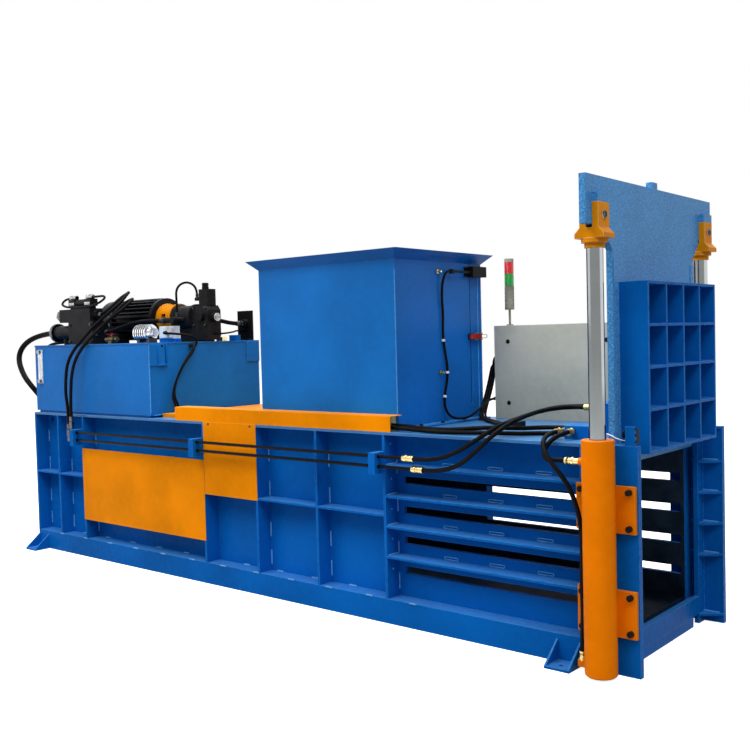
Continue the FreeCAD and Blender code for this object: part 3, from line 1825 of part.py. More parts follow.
low_port_x = gate_x - d.gate_barrel / 2 - 28
low_port_y = -(d.cylinder_offset - d.low_port_offset)
fittings += [
    fused(
        "tail_elbow",
        [
            bar("tail_elbow_stub", "X", (-350, 915), 52, (tail - 118, tail)),
            bar("tail_elbow_nut", "Z", (tail - 92, -350), 50, (915, 960)),
        ],
    ),
    fused(
        "drain_elbow",
        [
            bar("drain_elbow_stub", "X", (-210, 915), 34, (tail - 79, tail)),
            bar("drain_elbow_nut", "Z", (tail - 62, -210), 30, (915, 960)),
        ],
    ),
    fused(
        "near_elbow",
        [
            bar("near_elbow_stub", "X", (-350, 1036), 24, (distributor_x[0] - 16, distributor_x[0])),
            bar("near_elbow_nut", "Y", (distributor_x[0] - 16, 1036), 28, (-425, -340)),
        ],
    ),
    bar("near_fitting", "Y", (distributor_x[0] + 42, 1036), 28, (-415, -370)),
    bar("left_fitting_a", "X", (-268, 1040), 26, (distributor_x[0] - 42, distributor_x[0])),
    bar("left_fitting_b", "X", (-304, 1015), 26, (distributor_x[0] - 42, distributor_x[0])),
    bar("far_fitting_a", "X", (20, 1121), 30, (far_block_x[0] - 62, far_block_x[0])),
    bar("far_fitting_b", "X", (-50, 1121), 30, (far_block_x[0] - 62, far_block_x[0])),
    bar(
        "upper_port_union",
        "X",
        (-d.cylinder_offset, d.upper_port),
        28,
        (gate_x - d.gate_barrel / 2 - 84, gate_x - d.gate_barrel / 2 - 18),
    ),
    bar("low_port_nut", "Z", (low_port_x, low_port_y), 28, (d.low_port + 16, d.low_port + 50)),
    block("channel_grommet", (tail + 3320, tail + 3348), (-498, -412), (d.frame_height, 1076)),
    bar("tank_gland", "X", (-150, 1466), 24, (tank_gate, tank_gate + 18)),
    block("deck_gland", (tail + 3788, tail + 3848), (-28, 54), (d.frame_height, 1030)),
    fused(
        "cabinet_elbow",
        [
            bar("cabinet_elbow_stub", "X", (450, 1113), 22, (cabinet_x[0] - 26, cabinet_x[0])),
            bar("cabinet_elbow_nut", "Y", (cabinet_x[0] - 14, 1113), 20, (430, 450)),
        ],
    ),
]
for step, (y, z) in enumerate(((524, 1403), (498, 1361), (472, 1318))):
    fittings.append(bar("cabinet_gland_%d" % step, "X", (y, z), 22, (cabinet_x[0] - 12, cabinet_x[0])))
node("hose_fittings", together("hose_fittings", fittings))

# ---------------------------------------------------------------- hoses and cables


def hose(name, diameter, points):
    """A hose: straight runs between its points, joined by tangent arcs."""
    corners = [FreeCAD.Vector(*point) for point in points]
    runs = [after - before for before, after in zip(corners, corners[1:])]
    edges = []
    start = corners[0]
    least = 1e9
    for corner, before, after in zip(corners[1:], runs, runs[1:]):
        reach = 0.45 * min(before.Length, after.Length)
        turn = before.getAngle(after)
        radius = reach / math.tan(turn / 2)
        least = min(least, radius)
        came = before / before.Length
        goes = after / after.Length
        inward = goes - came
        inward.normalize()
        middle = corner + inward * (radius / math.cos(turn / 2) - radius)
        into = corner - came * reach
        out = corner + goes * reach
        edges.append(Part.makeLine(start, into))
        edges.append(Part.Arc(into, middle, out).toShape())
        start = out
    edges.append(Part.makeLine(start, corners[-1]))
    spine = Part.Wire(edges)
    ring = Part.Wire(Part.makeCircle(diameter.value / 2, corners[0], runs[0]))
    item = doc.addObject("Part::Feature", name)
    item.Shape = spine.makePipeShell([ring], True, False)
    section = math.pi * diameter.value**2 / 4
    print(
        "%-14s length %5.0f mm, least radius %4.1f diameters, volume %.4f of section x length"
        % (name, spine.Length, least / diameter.value, item.Shape.Volume / section / spine.Length)
    )
    return item


node(
    "power_hoses",
    together(
        "power_hoses",
        [
            hose(
                "tail_line",
                d.tail_hose,
                [
                    (-2196, -330, 1578),
                    (-2340, -330, 1578),
                    (-2500, -396, 1522),
                    (-2560, -436, 1408),
                    (-2440, -462, 1262),
                    (-2320, -432, 1145),
                    (-2320, -350, 1050),
                    (-2320, -350, 960),
                ],
            ),
            hose(
                "drain_line",
                d.hose,
                [
                    (-2098, -290, 1508),
                    (-2200, -290, 1508),
                    (-2316, -316, 1492),
                    (-2396, -352, 1400),
                    (-2390, -316, 1285),
                    (-2322, -240, 1175),
                    (-2290, -210, 1065),
                    (-2290, -210, 960),
                ],
            ),
            hose(
                "delivery_line",
                d.pump_hose,
                [
                    (-1190, -105, 1642),
                    (-1292, -105, 1642),
                    (-1405, -160, 1640),
                    (-1490, -232, 1606),
                    (-1540, -292, 1572),
                    (-1608, -292, 1572),
                ],
            ),
            hose(
                "pump_pilot_line",
                d.pilot_hose,
                [
                    (-1094, -60, 1676),
                    (-1094, -60, 1765),
                    (-1096, -62, 1858),
                    (-1063, -32, 1902),
                    (-1019, 7, 1902),
                    (-987, 35, 1858),
                    (-987, 35, 1805),
                ],
            ),
            hose(
                "return_line",
                d.pump_hose,
                [
                    (-979, 130, 1640),
                    (-979, 205, 1640),
                    (-940, 310, 1612),
                    (-940, 380, 1612),
                ],
            ),
            hose(
                "small_return_line",
                d.thin_hose,
                [
                    (-819, 60, 1540),
                    (-790, 60, 1540),
                    (-776, 118, 1544),
                    (-808, 205, 1552),
                    (-880, 290, 1559),
                    (-950, 345, 1560),
                    (-950, 405, 1560),
                ],
            ),
            hose(
                "valve_pilot_line",
                d.pilot_hose,
                [
                    (-1958, -335, 1827),
                    (-1998, -335, 1827),
                    (-2032, -352, 1810),
                    (-2018, -378, 1782),
                    (-1950, -386, 1763),
                    (-1860, -384, 1757),
                    (-1770, -388, 1758),
                    (-1680, -388, 1757),
                    (-1600, -388, 1763),
                    (-1530, -380, 1784),
                    (-1512, -352, 1812),
                    (-1550, -338, 1829),
                    (-1615, -335, 1827),
                    (-1683, -335, 1827),
                ],
            ),
        ],
    ),
)
node(
    "pipe_hoses",
    together(
        "pipe_hoses",
        [
            hose(
                "lower_pipe_line",
                d.hose,
                [
                    (-1616, -335, 1700),
                    (-1568, -335, 1700),
                    (-1556, -268, 1760),
                    (-1574, -172, 1823),
                    (-1548, -128, 1853),
                    (-1476, -182, 1852),
                    (-1462, -240, 1798),
                    (-1466, -300, 1749),
                    (-1508, -370, 1681),
                    (-1571, -420, 1609),
                    (-1599, -482, 1534),
                    (-1660, -522, 1456),
                    (-1706, -546, 1370),
                    (-1720, -556, 1270),
                    (-1722, -562, 1150),
                    (-1698, -560, 1024),
                    (-1698, -560, 899),
                ],
            ),
            hose(
                "upper_pipe_line",
                d.hose,
                [
                    (-1608, -372, 1560),
                    (-1566, -372, 1560),
                    (-1535, -345, 1622),
                    (-1507, -282, 1708),
                    (-1505, -190, 1783),
                    (-1472, -150, 1806),
                    (-1404, -205, 1798),
                    (-1392, -270, 1747),
                    (-1440, -370, 1664),
                    (-1492, -418, 1602),
                    (-1517, -482, 1532),
                    (-1578, -522, 1455),
                    (-1624, -546, 1370),
                    (-1652, -555, 1270),
                    (-1656, -562, 1160),
                    (-1666, -560, 1055),
                    (-1666, -560, 951),
                ],
            ),
        ],
    ),
)
node(
    "gate_hoses",
    together(
        "gate_hoses",
        [
            hose(
                "upper_gate_line",
                d.hose,
                [
                    (1342, -560, 881),
                    (1460, -560, 881),
                    (1590, -558, 922),
                    (1700, -550, 986),
                    (1780, -474, 1054),
                    (1805, -350, 1078),
                    (1818, -210, 1097),
                    (1862, -85, 1118),
                    (1942, 20, 1121),
                    (2020, 20, 1121),
                ],
            ),
            hose(
                "lower_gate_line",
                d.hose,
                [
                    (1399, -560, 829),
                    (1500, -560, 829),
                    (1620, -558, 868),
                    (1715, -562, 940),
                    (1790, -548, 1010),
                    (1842, -476, 1068),
                    (1856, -370, 1092),
                    (1864, -250, 1108),
                    (1895, -130, 1118),
                    (1950, -50, 1121),
                    (2020, -50, 1121),
                ],
            ),
            hose(
                "first_channel_line",
                d.hose,
                [
                    (1120, -437, 1030),
                    (1200, -437, 1030),
                    (1340, -423, 1018),
                    (1480, -424, 1020),
                    (1620, -414, 1034),
                    (1720, -392, 1040),
                    (1800, -345, 1034),
                    (1880, -293, 1036),
                    (1960, -268, 1040),
                    (2040, -268, 1040),
                ],
            ),
            hose(
                "second_channel_line",
                d.hose,
                [
                    (1120, -472, 1022),
                    (1200, -472, 1022),
                    (1340, -470, 1013),
                    (1480, -468, 1013),
                    (1610, -456, 1015),
                    (1715, -432, 1017),
                    (1810, -392, 1014),
                    (1885, -338, 1013),
                    (1960, -304, 1015),
                    (2040, -304, 1015),
                ],
            ),
        ],
    ),
)
node(
    "cylinder_hoses",
    together(
        "cylinder_hoses",
        [
            hose(
                "low_port_line",
                d.hose,
                [
                    (2066, -425, 1036),
                    (2066, -505, 1036),
                    (2082, -584, 994),
                    (2150, -622, 924),
                    (2220, -612, 842),
                    (2250, -590, 752),
                    (2262, -566, 650),
                    (2264, -562, 530),
                    (2259, -564, 400),
                    (2263, -561, 280),
                    (2258, -562, 180),
                    (2258, -562, 92),
                ],
            ),
            hose(
                "high_port_line",
                d.hose,
                [
                    (2124, -415, 1036),
                    (2124, -470, 1036),
                    (2098, -535, 1010),
                    (2080, -568, 958),
                    (2108, -583, 926),
                    (2150, -585, 932),
                    (2202, -585, 932),
                ],
            ),
        ],
    ),
)
node(
    "cables",
    together(
        "cables",
        [
            hose(
                "sensor_cable",
                d.cable,
                [
                    (1151, 63, 1846),
                    (1151, 24, 1846),
                    (1142, 0, 1795),
                    (1136, -4, 1710),
                    (1134, 10, 1610),
                    (1136, -2, 1510),
                    (1134, 16, 1410),
                    (1136, 38, 1320),
                    (1134, 36, 1240),
                    (1137, 4, 1165),
                    (1142, -8, 1095),
                    (1156, 22, 1038),
                    (1180, 92, 1020),
                    (1187, 190, 1032),
                    (1187, 290, 1072),
                    (1186, 370, 1113),
                    (1186, 430, 1113),
                ],
            ),
            hose(
                "cabinet_cable_a",
                d.cable,
                [
                    (1188, 524, 1403),
                    (1148, 524, 1403),
                    (1144, 514, 1335),
                    (1147, 494, 1240),
                    (1150, 446, 1140),
                    (1166, 372, 1062),
                    (1210, 290, 1014),
                    (1300, 215, 1009),
                    (1395, 140, 1009),
                    (1470, 66, 1010),
                    (1516, 38, 1011),
                    (1560, 38, 1011),
                ],
            ),
            hose(
                "cabinet_cable_b",
                d.cable,
                [
                    (1188, 498, 1361),
                    (1148, 498, 1361),
                    (1144, 490, 1305),
                    (1147, 468, 1240),
                    (1150, 420, 1140),
                    (1166, 346, 1062),
                    (1210, 264, 1014),
                    (1300, 189, 1009),
                    (1395, 114, 1009),
                    (1470, 40, 1010),
                    (1516, 12, 1011),
                    (1560, 12, 1011),
                ],
            ),
            hose(
                "cabinet_cable_c",
                d.cable,
                [
                    (1188, 472, 1318),
                    (1148, 472, 1318),
                    (1146, 446, 1240),
                    (1150, 394, 1140),
                    (1166, 320, 1062),
                    (1210, 238, 1014),
                    (1300, 163, 1009),
                    (1395, 88, 1009),
                    (1470, 14, 1010),
                    (1516, -14, 1011),
                    (1560, -14, 1011),
                ],
            ),
            hose(
                "motor_cable_a",
                d.motor_cable,
                [
                    (-1006, -226, 1555),
                    (-1006, -258, 1555),
                    (-950, -268, 1551),
                    (-890, -215, 1545),
                    (-848, -140, 1532),
                    (-840, -92, 1492),
                    (-842, -135, 1440),
                    (-842, -210, 1358),
                    (-842, -268, 1272),
                    (-840, -306, 1185),
                    (-828, -314, 1120),
                    (-800, -307, 1078),
                    (-800, -307, 1025),
                ],
            ),
            hose(
                "motor_cable_b",
                d.motor_cable,
                [
                    (-845, -150, 1466),
                    (-806, -150, 1466),
                    (-796, -172, 1424),
                    (-808, -228, 1362),
                    (-818, -282, 1280),
                    (-820, -322, 1195),
                    (-816, -340, 1125),
                    (-800, -328, 1070),
                    (-800, -328, 1025),
                ],
            ),
            hose(
                "gate_switch_wire",
                d.switch_wire,
                [
                    (2296, -440, 1000),
                    (2296, -440, 1028),
                    (2320, -457, 1046),
                    (2360, -474, 1042),
                    (2410, -480, 1019),
                    (2450, -480, 1019),
                ],
            ),
        ],
    ),
)

# ---------------------------------------------------------------- check and write

doc.recompute()
faults = []
for item in doc.Objects:
    if "Invalid" in item.State or "Error" in item.State:
        faults.append(item.Name + " " + str(item.State))
for label, item in parts.items():
    if item.Shape.isNull() or not item.Shape.isValid():
        faults.append(label + " has no valid shape")
if faults:
    raise RuntimeError("; ".join(faults))

os.makedirs("parts", exist_ok=True)
for label, item in parts.items():
    item.Shape.exportStep("parts/" + label + ".step")
print(len(parts), "pieces written")
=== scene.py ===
# %% [markdown]
# # A horizontal baler, dressed for its portrait
# The construction model gives every plate, pin and cylinder of the baler at its real place.
# Here it gets its finishes, its hoses and its small parts, in metres and in the same frame:
# +X runs along the machine to the gate, -Y is the side with the pipes, +Z is up.

import math

import bmesh
import bpy
from mathutils import Matrix, Vector


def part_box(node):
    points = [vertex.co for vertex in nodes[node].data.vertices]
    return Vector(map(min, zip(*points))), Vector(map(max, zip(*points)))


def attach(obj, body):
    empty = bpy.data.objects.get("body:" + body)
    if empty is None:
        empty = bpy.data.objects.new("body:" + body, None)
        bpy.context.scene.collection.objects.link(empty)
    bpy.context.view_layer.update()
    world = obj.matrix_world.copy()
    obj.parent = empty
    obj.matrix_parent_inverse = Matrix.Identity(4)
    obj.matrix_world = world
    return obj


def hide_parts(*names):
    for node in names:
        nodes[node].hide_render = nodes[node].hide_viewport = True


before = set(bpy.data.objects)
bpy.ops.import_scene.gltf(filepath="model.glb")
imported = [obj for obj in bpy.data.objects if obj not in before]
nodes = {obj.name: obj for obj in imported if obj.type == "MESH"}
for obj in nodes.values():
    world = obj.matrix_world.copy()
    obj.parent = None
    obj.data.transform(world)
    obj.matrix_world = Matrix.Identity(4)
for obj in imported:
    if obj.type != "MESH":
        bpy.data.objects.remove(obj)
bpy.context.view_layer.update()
print("nodes:", len(nodes))

# %% [markdown]
# ## The camera
# The photograph was taken by hand, at eye height, from beyond the gate's near corner. A
# camera can be turned by eye until the picture fits. Here the frame's long edges gave the
# lens and the three turns, so it is placed by numbers, which fits the whole picture at once.

# %% Camera
CAMERA_PLACE = Vector((4.2466, -4.3132, 1.4962))
YAW, PITCH, ROLL = math.radians(39.91), math.radians(2.32), math.radians(-1.45)
LENS_MM, SENSOR_MM, FARTHEST = 46.0, 36.0, 60

forward = Vector(
    (
        -math.sin(YAW) * math.cos(PITCH),
        math.cos(YAW) * math.cos(PITCH),
        -math.sin(PITCH),
    )
)
level = forward.cross(Vector((0, 0, 1))).normalized()
above = level.cross(forward)
right = level * math.cos(ROLL) + above * math.sin(ROLL)
up = above * math.cos(ROLL) - level * math.sin(ROLL)
camera_data = bpy.data.cameras.new("portrait_camera")
camera_data.lens = LENS_MM
camera_data.sensor_width = SENSOR_MM
camera_data.clip_end = FARTHEST
camera = bpy.data.objects.new("portrait_camera", camera_data)
bpy.context.scene.collection.objects.link(camera)
camera.matrix_world = Matrix.Translation(CAMERA_PLACE) @ Matrix(
    (
        (right.x, up.x, -forward.x, 0),
        (right.y, up.y, -forward.y, 0),
        (right.z, up.z, -forward.z, 0),
        (0, 0, 0, 1),
    )
)
bpy.context.scene.camera = camera
print("camera at", tuple(CAMERA_PLACE))

# %% [markdown]
# ## Shader arithmetic
# A material is a graph of nodes, and most of it is arithmetic. It can be wired node by node,
# but the sums are then hard to read. One small class wraps a socket, so that `1 - mask * 0.4`
# adds its own Math nodes, and a second one holds the material and adds any other node.


# %% Sockets that add up
class Value:
    """One socket of a material. Sums and products of it add Math nodes."""

    def __init__(self, finish, socket):
        self.finish = finish
        self.socket = socket

    def worked(self, operation, first, second):
        return self.finish.add("ShaderNodeMath", {"operation": operation}, {0: first, 1: second})

    def __add__(self, other):
        return self.worked("ADD", self, other)

    def __radd__(self, other):
        return self.worked("ADD", other, self)

    def __sub__(self, other):
        return self.worked("SUBTRACT", self, other)

    def __rsub__(self, other):
        return self.worked("SUBTRACT", other, self)

    def __mul__(self, other):
        return self.worked("MULTIPLY", self, other)

    def between(self, low, high):
        """0 below low, 1 above high, and a smooth step from one to the other."""
        return self.finish.add(
            "ShaderNodeMapRange",
            {"interpolation_type": "SMOOTHSTEP"},
            {"Value": self, "From Min": low, "From Max": high},
            "Result",
        )


# %% A material and its masks
BEVEL_SAMPLES = 4
MIX_FACTOR, MIX_FIRST, MIX_SECOND, MIX_RESULT = 0, 6, 7, 2


class Finish:
    """A material, with its principled shader and its object coordinates."""

    def __init__(self, name):
        self.material = bpy.data.materials.new(name)
        self.material.use_nodes = True
        self.tree = self.material.node_tree
        self.tree.nodes.clear()
        self.shader = self.tree.nodes.new("ShaderNodeBsdfPrincipled")
        output = self.tree.nodes.new("ShaderNodeOutputMaterial")
        self.tree.links.new(self.shader.outputs[0], output.inputs[0])
        self.place = self.add("ShaderNodeTexCoord", {}, {}, "Object")

    def add(self, kind, settings, values, output=0):
        """Adds a node: its settings first, then the values or links of its sockets."""
        made = self.tree.nodes.new(kind)
        for key, value in settings.items():
            setattr(made, key, value)
        for key, value in values.items():
            self.give(made.inputs[key], value)
        return Value(self, made.outputs[output])

    def give(self, socket, value):
        """Links a socket to a value, or sets it to a number or a colour."""
        if isinstance(value, Value):
            self.tree.links.new(value.socket, socket)
        elif isinstance(value, (tuple, list)) and len(value) == 3 and socket.type == "RGBA":
            socket.default_value = (*value, 1)
        else:
            socket.default_value = value

    def shade(self, **values):
        """Gives the shader its values, by the names of its sockets."""
        for key, value in values.items():
            self.give(self.shader.inputs[key.replace("_", " ")], value)

    def noise(self, scale, detail=2.0, roughness=0.5, place=None):
        """Soft random spots, about so many to the metre, each from 0 to 1."""
        values = {"Vector": place or self.place, "Scale": scale, "Detail": detail}
        return self.add("ShaderNodeTexNoise", {}, {**values, "Roughness": roughness}, "Fac")

    def stretched(self, factors):
        """The object's coordinates, stretched along its axes."""
        return self.add(
            "ShaderNodeVectorMath", {"operation": "MULTIPLY"}, {0: self.place, 1: factors}, "Vector"
        )

    def blend(self, factor, first, second):
        """The first colour at 0 and the second at 1."""
        made = self.tree.nodes.new("ShaderNodeMix")
        made.data_type = "RGBA"
        self.give(made.inputs[MIX_FACTOR], factor)
        self.give(made.inputs[MIX_FIRST], first)
        self.give(made.inputs[MIX_SECOND], second)
        return Value(self, made.outputs[MIX_RESULT])

    def rounded(self, radius):
        """The normal of a surface whose sharp edges are eased by this radius."""
        return self.add("ShaderNodeBevel", {"samples": BEVEL_SAMPLES}, {"Radius": radius}, "Normal")

    def flat(self):
        """The direction that each face looks in."""
        return self.add("ShaderNodeNewGeometry", {}, {}, "True Normal")

    def edges(self, radius):
        """1 along sharp edges and 0 on open faces."""
        values = {0: self.rounded(radius), 1: self.flat()}
        same = self.add("ShaderNodeVectorMath", {"operation": "DOT_PRODUCT"}, values, "Value")
        return (1 - same).between(0.02, 0.22)

    def upward(self):
        """1 on faces that look up, where dust settles."""
        return self.add("ShaderNodeSeparateXYZ", {}, {"Vector": self.flat()}, "Z").between(0.3, 0.9)

    def bump(self, height, distance, strength=1.0, normal=None):
        """The normal of a surface with this relief, laid over another normal if one is given."""
        values = {"Height": height, "Distance": distance, "Strength": strength}
        if normal is not None:
            values["Normal"] = normal
        return self.add("ShaderNodeBump", {}, values, "Normal")


def times(colour, factor, more=0.0):
    """A colour made lighter or darker."""
    return tuple(min(1, part * factor + more) for part in colour)


print("shader tools ready")

# %% [markdown]
# ## Paint
# The plates are sprayed with a glossy enamel. On the real machine it has a fine orange
# peel, slow changes of tone, light edges where it runs thin, and dust on level faces. The
# light edges are also a painted highlight along every sharp edge. All this could be painted
# on by hand, but noise on object coordinates gives it to every plate at one true scale, and
# a Bevel node finds the edges.

# %% Enamel
# Scales of the noise, in spots to the metre.
TONE, MOTTLE, DUST, WEAR_AND_HIGHLIGHT, PEEL = 1.7, 28, 31, 35, 260
# The darkest and the lightest of the slow tones, and the light of the mottle.
DARKEST, LIGHTEST, MOTTLE_LIGHT, MOTTLE_COVER = 0.80, 1.13, 1.4, 0.16
# The colour of the light edges, part wear and part painted highlight, and of the dust.
WORN_AND_LIT_EDGE_BLUE, DUSTY_BLUE = (0.060, 0.30, 0.66), (0.15, 0.36, 0.60)
# How far the light edges reach from an edge, in edge radii, and how much of the paint they cover;
# they are part wear and part painted highlight.
EDGE_REACH, EDGE_COVER = 1.6, 0.85


def enamel(
    name, colour, gloss=0.28, peel=0.00012, edge_radius=0.003, worn_and_lit_edge=WORN_AND_LIT_EDGE_BLUE,
    dusty=0.30, film=DUSTY_BLUE, speckle=0.0, grit=420, shine=0.015,
):
    """A sprayed paint.

    gloss is its roughness and peel the height of its skin. worn_and_lit_edge is the colour of
    its edges, part wear and part painted highlight, dusty and film are the amount and colour of
    the dust, speckle and grit the flakes of a hammered paint, and shine is the specular level.
    """
    paint = Finish(name)
    mottle = paint.noise(MOTTLE, 3)
    # Light edges: wear where the paint runs thin, and a painted highlight along each sharp edge.
    edge = paint.edges(edge_radius * EDGE_REACH) * paint.noise(WEAR_AND_HIGHLIGHT, 3).between(0.30, 0.52)
    dust = paint.upward() * (0.5 + paint.noise(DUST, 4).between(0.35, 0.75) * 0.5) * dusty
    slow = paint.noise(TONE, 3).between(0.3, 0.7)
    tone = paint.blend(slow, times(colour, DARKEST), times(colour, LIGHTEST))
    spots = mottle.between(0.35, 0.75) * MOTTLE_COVER
    tone = paint.blend(spots, tone, times(colour, MOTTLE_LIGHT))
    if speckle:
        grain = paint.noise(grit, 2, 0.7)
        light = grain.between(0.50, 0.66) * speckle
        dark = (1 - grain.between(0.34, 0.48)) * speckle
        tone = paint.blend(light, tone, times(colour, 1.7, 0.004))
        tone = paint.blend(dark, tone, times(colour, 0.5))
    tone = paint.blend(dust, tone, film)
    # The edges take their light colour: part wear, part painted highlight.
    tone = paint.blend(edge * EDGE_COVER, tone, worn_and_lit_edge)
    skin = paint.noise(PEEL, 1) + mottle * 1.5
    paint.shade(
        Base_Color=tone,
        Roughness=gloss + (mottle - 0.5) * 0.12 + dust * 0.35,
        Normal=paint.bump(skin, peel, 1.0, paint.rounded(edge_radius)),
        Specular_IOR_Level=shine,
    )
    return paint.material


# %% The paints
blue_enamel = enamel("blue_enamel", (0.002, 0.112, 0.430), speckle=0.10)
hammered_blue = enamel(
    "hammered_blue_enamel", (0.006, 0.135, 0.440),
    gloss=0.33, peel=0.00035, speckle=0.40, shine=0.06,
)
gate_enamel = enamel(
    "gate_enamel", (0.060, 0.235, 0.50),
    gloss=0.34, peel=0.0005, speckle=0.8, grit=150, shine=0.05,
)
deck_enamel = enamel("deck_enamel", (0.020, 0.135, 0.36), gloss=0.24, dusty=0.45, shine=0.25)
# The welds are a lighter blue than the plates, with still lighter edges: a painted highlight on the
# beads.
lit_weld_enamel = enamel(
    "lit_weld_enamel", (0.045, 0.28, 0.64), gloss=0.20, worn_and_lit_edge=(0.25, 0.52, 0.80), shine=0.30
)
orange_enamel = enamel(
    "orange_enamel", (0.860, 0.250, 0.001),
    gloss=0.32, worn_and_lit_edge=(0.90, 0.40, 0.05), dusty=0.22, film=(0.60, 0.30, 0.16),
)
barrel_enamel = enamel(
    "barrel_enamel", (0.860, 0.200, 0.001), gloss=0.26, worn_and_lit_edge=(0.90, 0.36, 0.03), dusty=0.08
)
bell_enamel = enamel(
    "bell_enamel", (0.500, 0.165, 0.001),
    gloss=0.24, worn_and_lit_edge=(0.70, 0.34, 0.04), dusty=0.02, shine=0.03,
)
yellow_enamel = enamel(
    "yellow_enamel", (0.72, 0.25, 0.004), gloss=0.30, worn_and_lit_edge=(0.80, 0.60, 0.40), dusty=0.05
)
grey_enamel = enamel(
    "cabinet_grey", (0.49, 0.475, 0.385),
    gloss=0.42, peel=0.00018, worn_and_lit_edge=(0.60, 0.62, 0.58), dusty=0.10,
)
black_enamel = enamel(
    "black_enamel", (0.006, 0.006, 0.007),
    gloss=0.24, edge_radius=0.0012, worn_and_lit_edge=(0.05, 0.05, 0.055), dusty=0.03, shine=0.06,
)
pipe_enamel = enamel(
    "pipe_enamel", (0.003, 0.003, 0.004),
    gloss=0.14, edge_radius=0.0005, worn_and_lit_edge=(0.02, 0.02, 0.022), dusty=0.02, shine=0.04,
)
print("paints ready")

# %% [markdown]
# ## Metals, rubber and plastic
# Bare metal is all reflection, so its detail is in the roughness: fine drawn lines on the
# chrome rods, cloudy zinc, and a sandy skin on castings. Rubber is dull with a light bloom.
# One function makes the metals and another all that is dull, because the members of each
# family differ only in colour, roughness and grain.

# %% Bare metals
CLOUDS, LINE_DEPTH, METAL_EDGE = 14, 0.00004, 0.0008


def bare_metal(name, colour, rough, lines=(1, 1, 1), grain=60.0, cloudy=0.15):
    """A metal whose grain can be drawn out into lines along an axis."""
    metal = Finish(name)
    drawn = metal.noise(grain, 3, 0.6, metal.stretched(lines))
    cloud = metal.noise(CLOUDS, 3)
    metal.shade(
        Base_Color=metal.blend(cloud.between(0.3, 0.7), times(colour, 1 - cloudy), colour),
        Metallic=1.0,
        Roughness=rough + (drawn - 0.5) * 0.14 + (cloud - 0.5) * cloudy * 0.6,
        Normal=metal.bump(drawn, LINE_DEPTH, 1.0, metal.rounded(METAL_EDGE)),
    )
    return metal.material


chrome = bare_metal("chrome", (0.22, 0.235, 0.235), 0.12, (6, 6, 0.6), 90, 0.05)
steel = bare_metal("bare_steel", (0.34, 0.34, 0.35), 0.34, cloudy=0.3)
dark_steel = bare_metal("blackened_steel", (0.050, 0.050, 0.054), 0.36, cloudy=0.3)
zinc = bare_metal("zinc_plate", (0.40, 0.40, 0.39), 0.30, cloudy=0.25)
yellow_zinc = bare_metal("yellow_zinc", (0.62, 0.47, 0.20), 0.28, cloudy=0.25)
brass = bare_metal("brass", (0.15, 0.105, 0.05), 0.30, cloudy=0.3)
grey_iron = bare_metal("grey_iron", (0.12, 0.125, 0.135), 0.32, cloudy=0.4)
aluminium = bare_metal("cast_aluminium", (0.62, 0.63, 0.65), 0.16, cloudy=0.2)
# A near-black blue metal for the chamber's floor plate and the inner faces of its walls, far darker
# than the paint outside.
dark_inner_steel = bare_metal("dark_inner_plate", (0.016, 0.030, 0.052), 0.55, cloudy=0.4)
print("metals ready")

# %% Castings, rubber and plastic
SAND, PATCHES, BLOOM = 190, 12, 20
BLOOM_GREY, DULL_HIGHLIGHT_EDGE, DULL_SHINE = (0.22, 0.22, 0.21), 0.0012, 0.04


def casting(name, colour, rough, sand=0.0001):
    """A dull skin, sandy on a casting and nearly smooth on a moulding."""
    skin = Finish(name)
    grain = skin.noise(SAND, 3, 0.6)
    patches = skin.noise(PATCHES, 3).between(0.3, 0.7)
    bloom = skin.upward() * skin.noise(BLOOM, 3).between(0.4, 0.7) * 0.05
    tone = skin.blend(patches, times(colour, 0.7), times(colour, 1.35))
    tone = skin.blend(bloom, tone, BLOOM_GREY)
    # Sharp edges drawn lighter: a painted highlight.
    tone = skin.blend(skin.edges(DULL_HIGHLIGHT_EDGE) * 0.30, tone, times(colour, 1.8, 0.008))
    skin.shade(
        Base_Color=tone,
        Roughness=rough + (grain - 0.5) * 0.2,
        Normal=skin.bump(grain, sand, 0.8, skin.rounded(0.0015)),
        Specular_IOR_Level=DULL_SHINE,
    )
    return skin.material


cast_black = casting("painted_casting", (0.009, 0.009, 0.010), 0.34, 0.0004)
rubber = casting("hose_rubber", (0.0030, 0.0030, 0.0033), 0.46, 0.0002)
brown_rubber = casting("aged_hose_rubber", (0.0040, 0.0032, 0.0030), 0.46, 0.0002)
cable_rubber = casting("cable_rubber", (0.0035, 0.0035, 0.004), 0.36)
black_plastic = casting("black_plastic", (0.009, 0.009, 0.0095), 0.38)
grey_plastic = casting("grey_plastic", (0.29, 0.28, 0.21), 0.45)
pale_plastic = casting("pale_plastic", (0.50, 0.52, 0.52), 0.45)
white_plastic = casting("white_plastic", (0.72, 0.72, 0.70), 0.45)
red_plastic = casting("red_plastic", (0.50, 0.03, 0.02), 0.38)
dull_red = casting("dull_red", (0.13, 0.010, 0.012), 0.40)
print("castings, rubber and plastic ready")

# %% [markdown]
# ## Lenses of the signal tower
# The lenses are ribbed coloured plastic. They aren't lit on the real machine, but daylight
# passes through them. Glass with a lamp inside would show that at a high cost, so a little
# of the colour is given off as light instead.

# %% Lenses
LENS_RIBS = 60.0


def lens(name, colour, glow):
    """Ribbed coloured plastic that gives off a little light."""
    glass = Finish(name)
    ribs = glass.add(
        "ShaderNodeTexWave",
        {"bands_direction": "Z"},
        {"Vector": glass.place, "Scale": LENS_RIBS},
        "Fac",
    )
    glass.shade(
        Base_Color=glass.blend(ribs * 0.35, colour, times(colour, 0.5)),
        Roughness=0.18,
        Normal=glass.bump(ribs, 0.001),
        Emission_Color=glass.blend(ribs * 0.5, colour, times(colour, 0.4)),
        Emission_Strength=glow,
    )
    return glass.material


green_lens = lens("green_lens", (0.0, 0.30, 0.03), 0.18)
red_lens = lens("red_lens", (0.60, 0.003, 0.012), 0.25)
print("lenses ready")

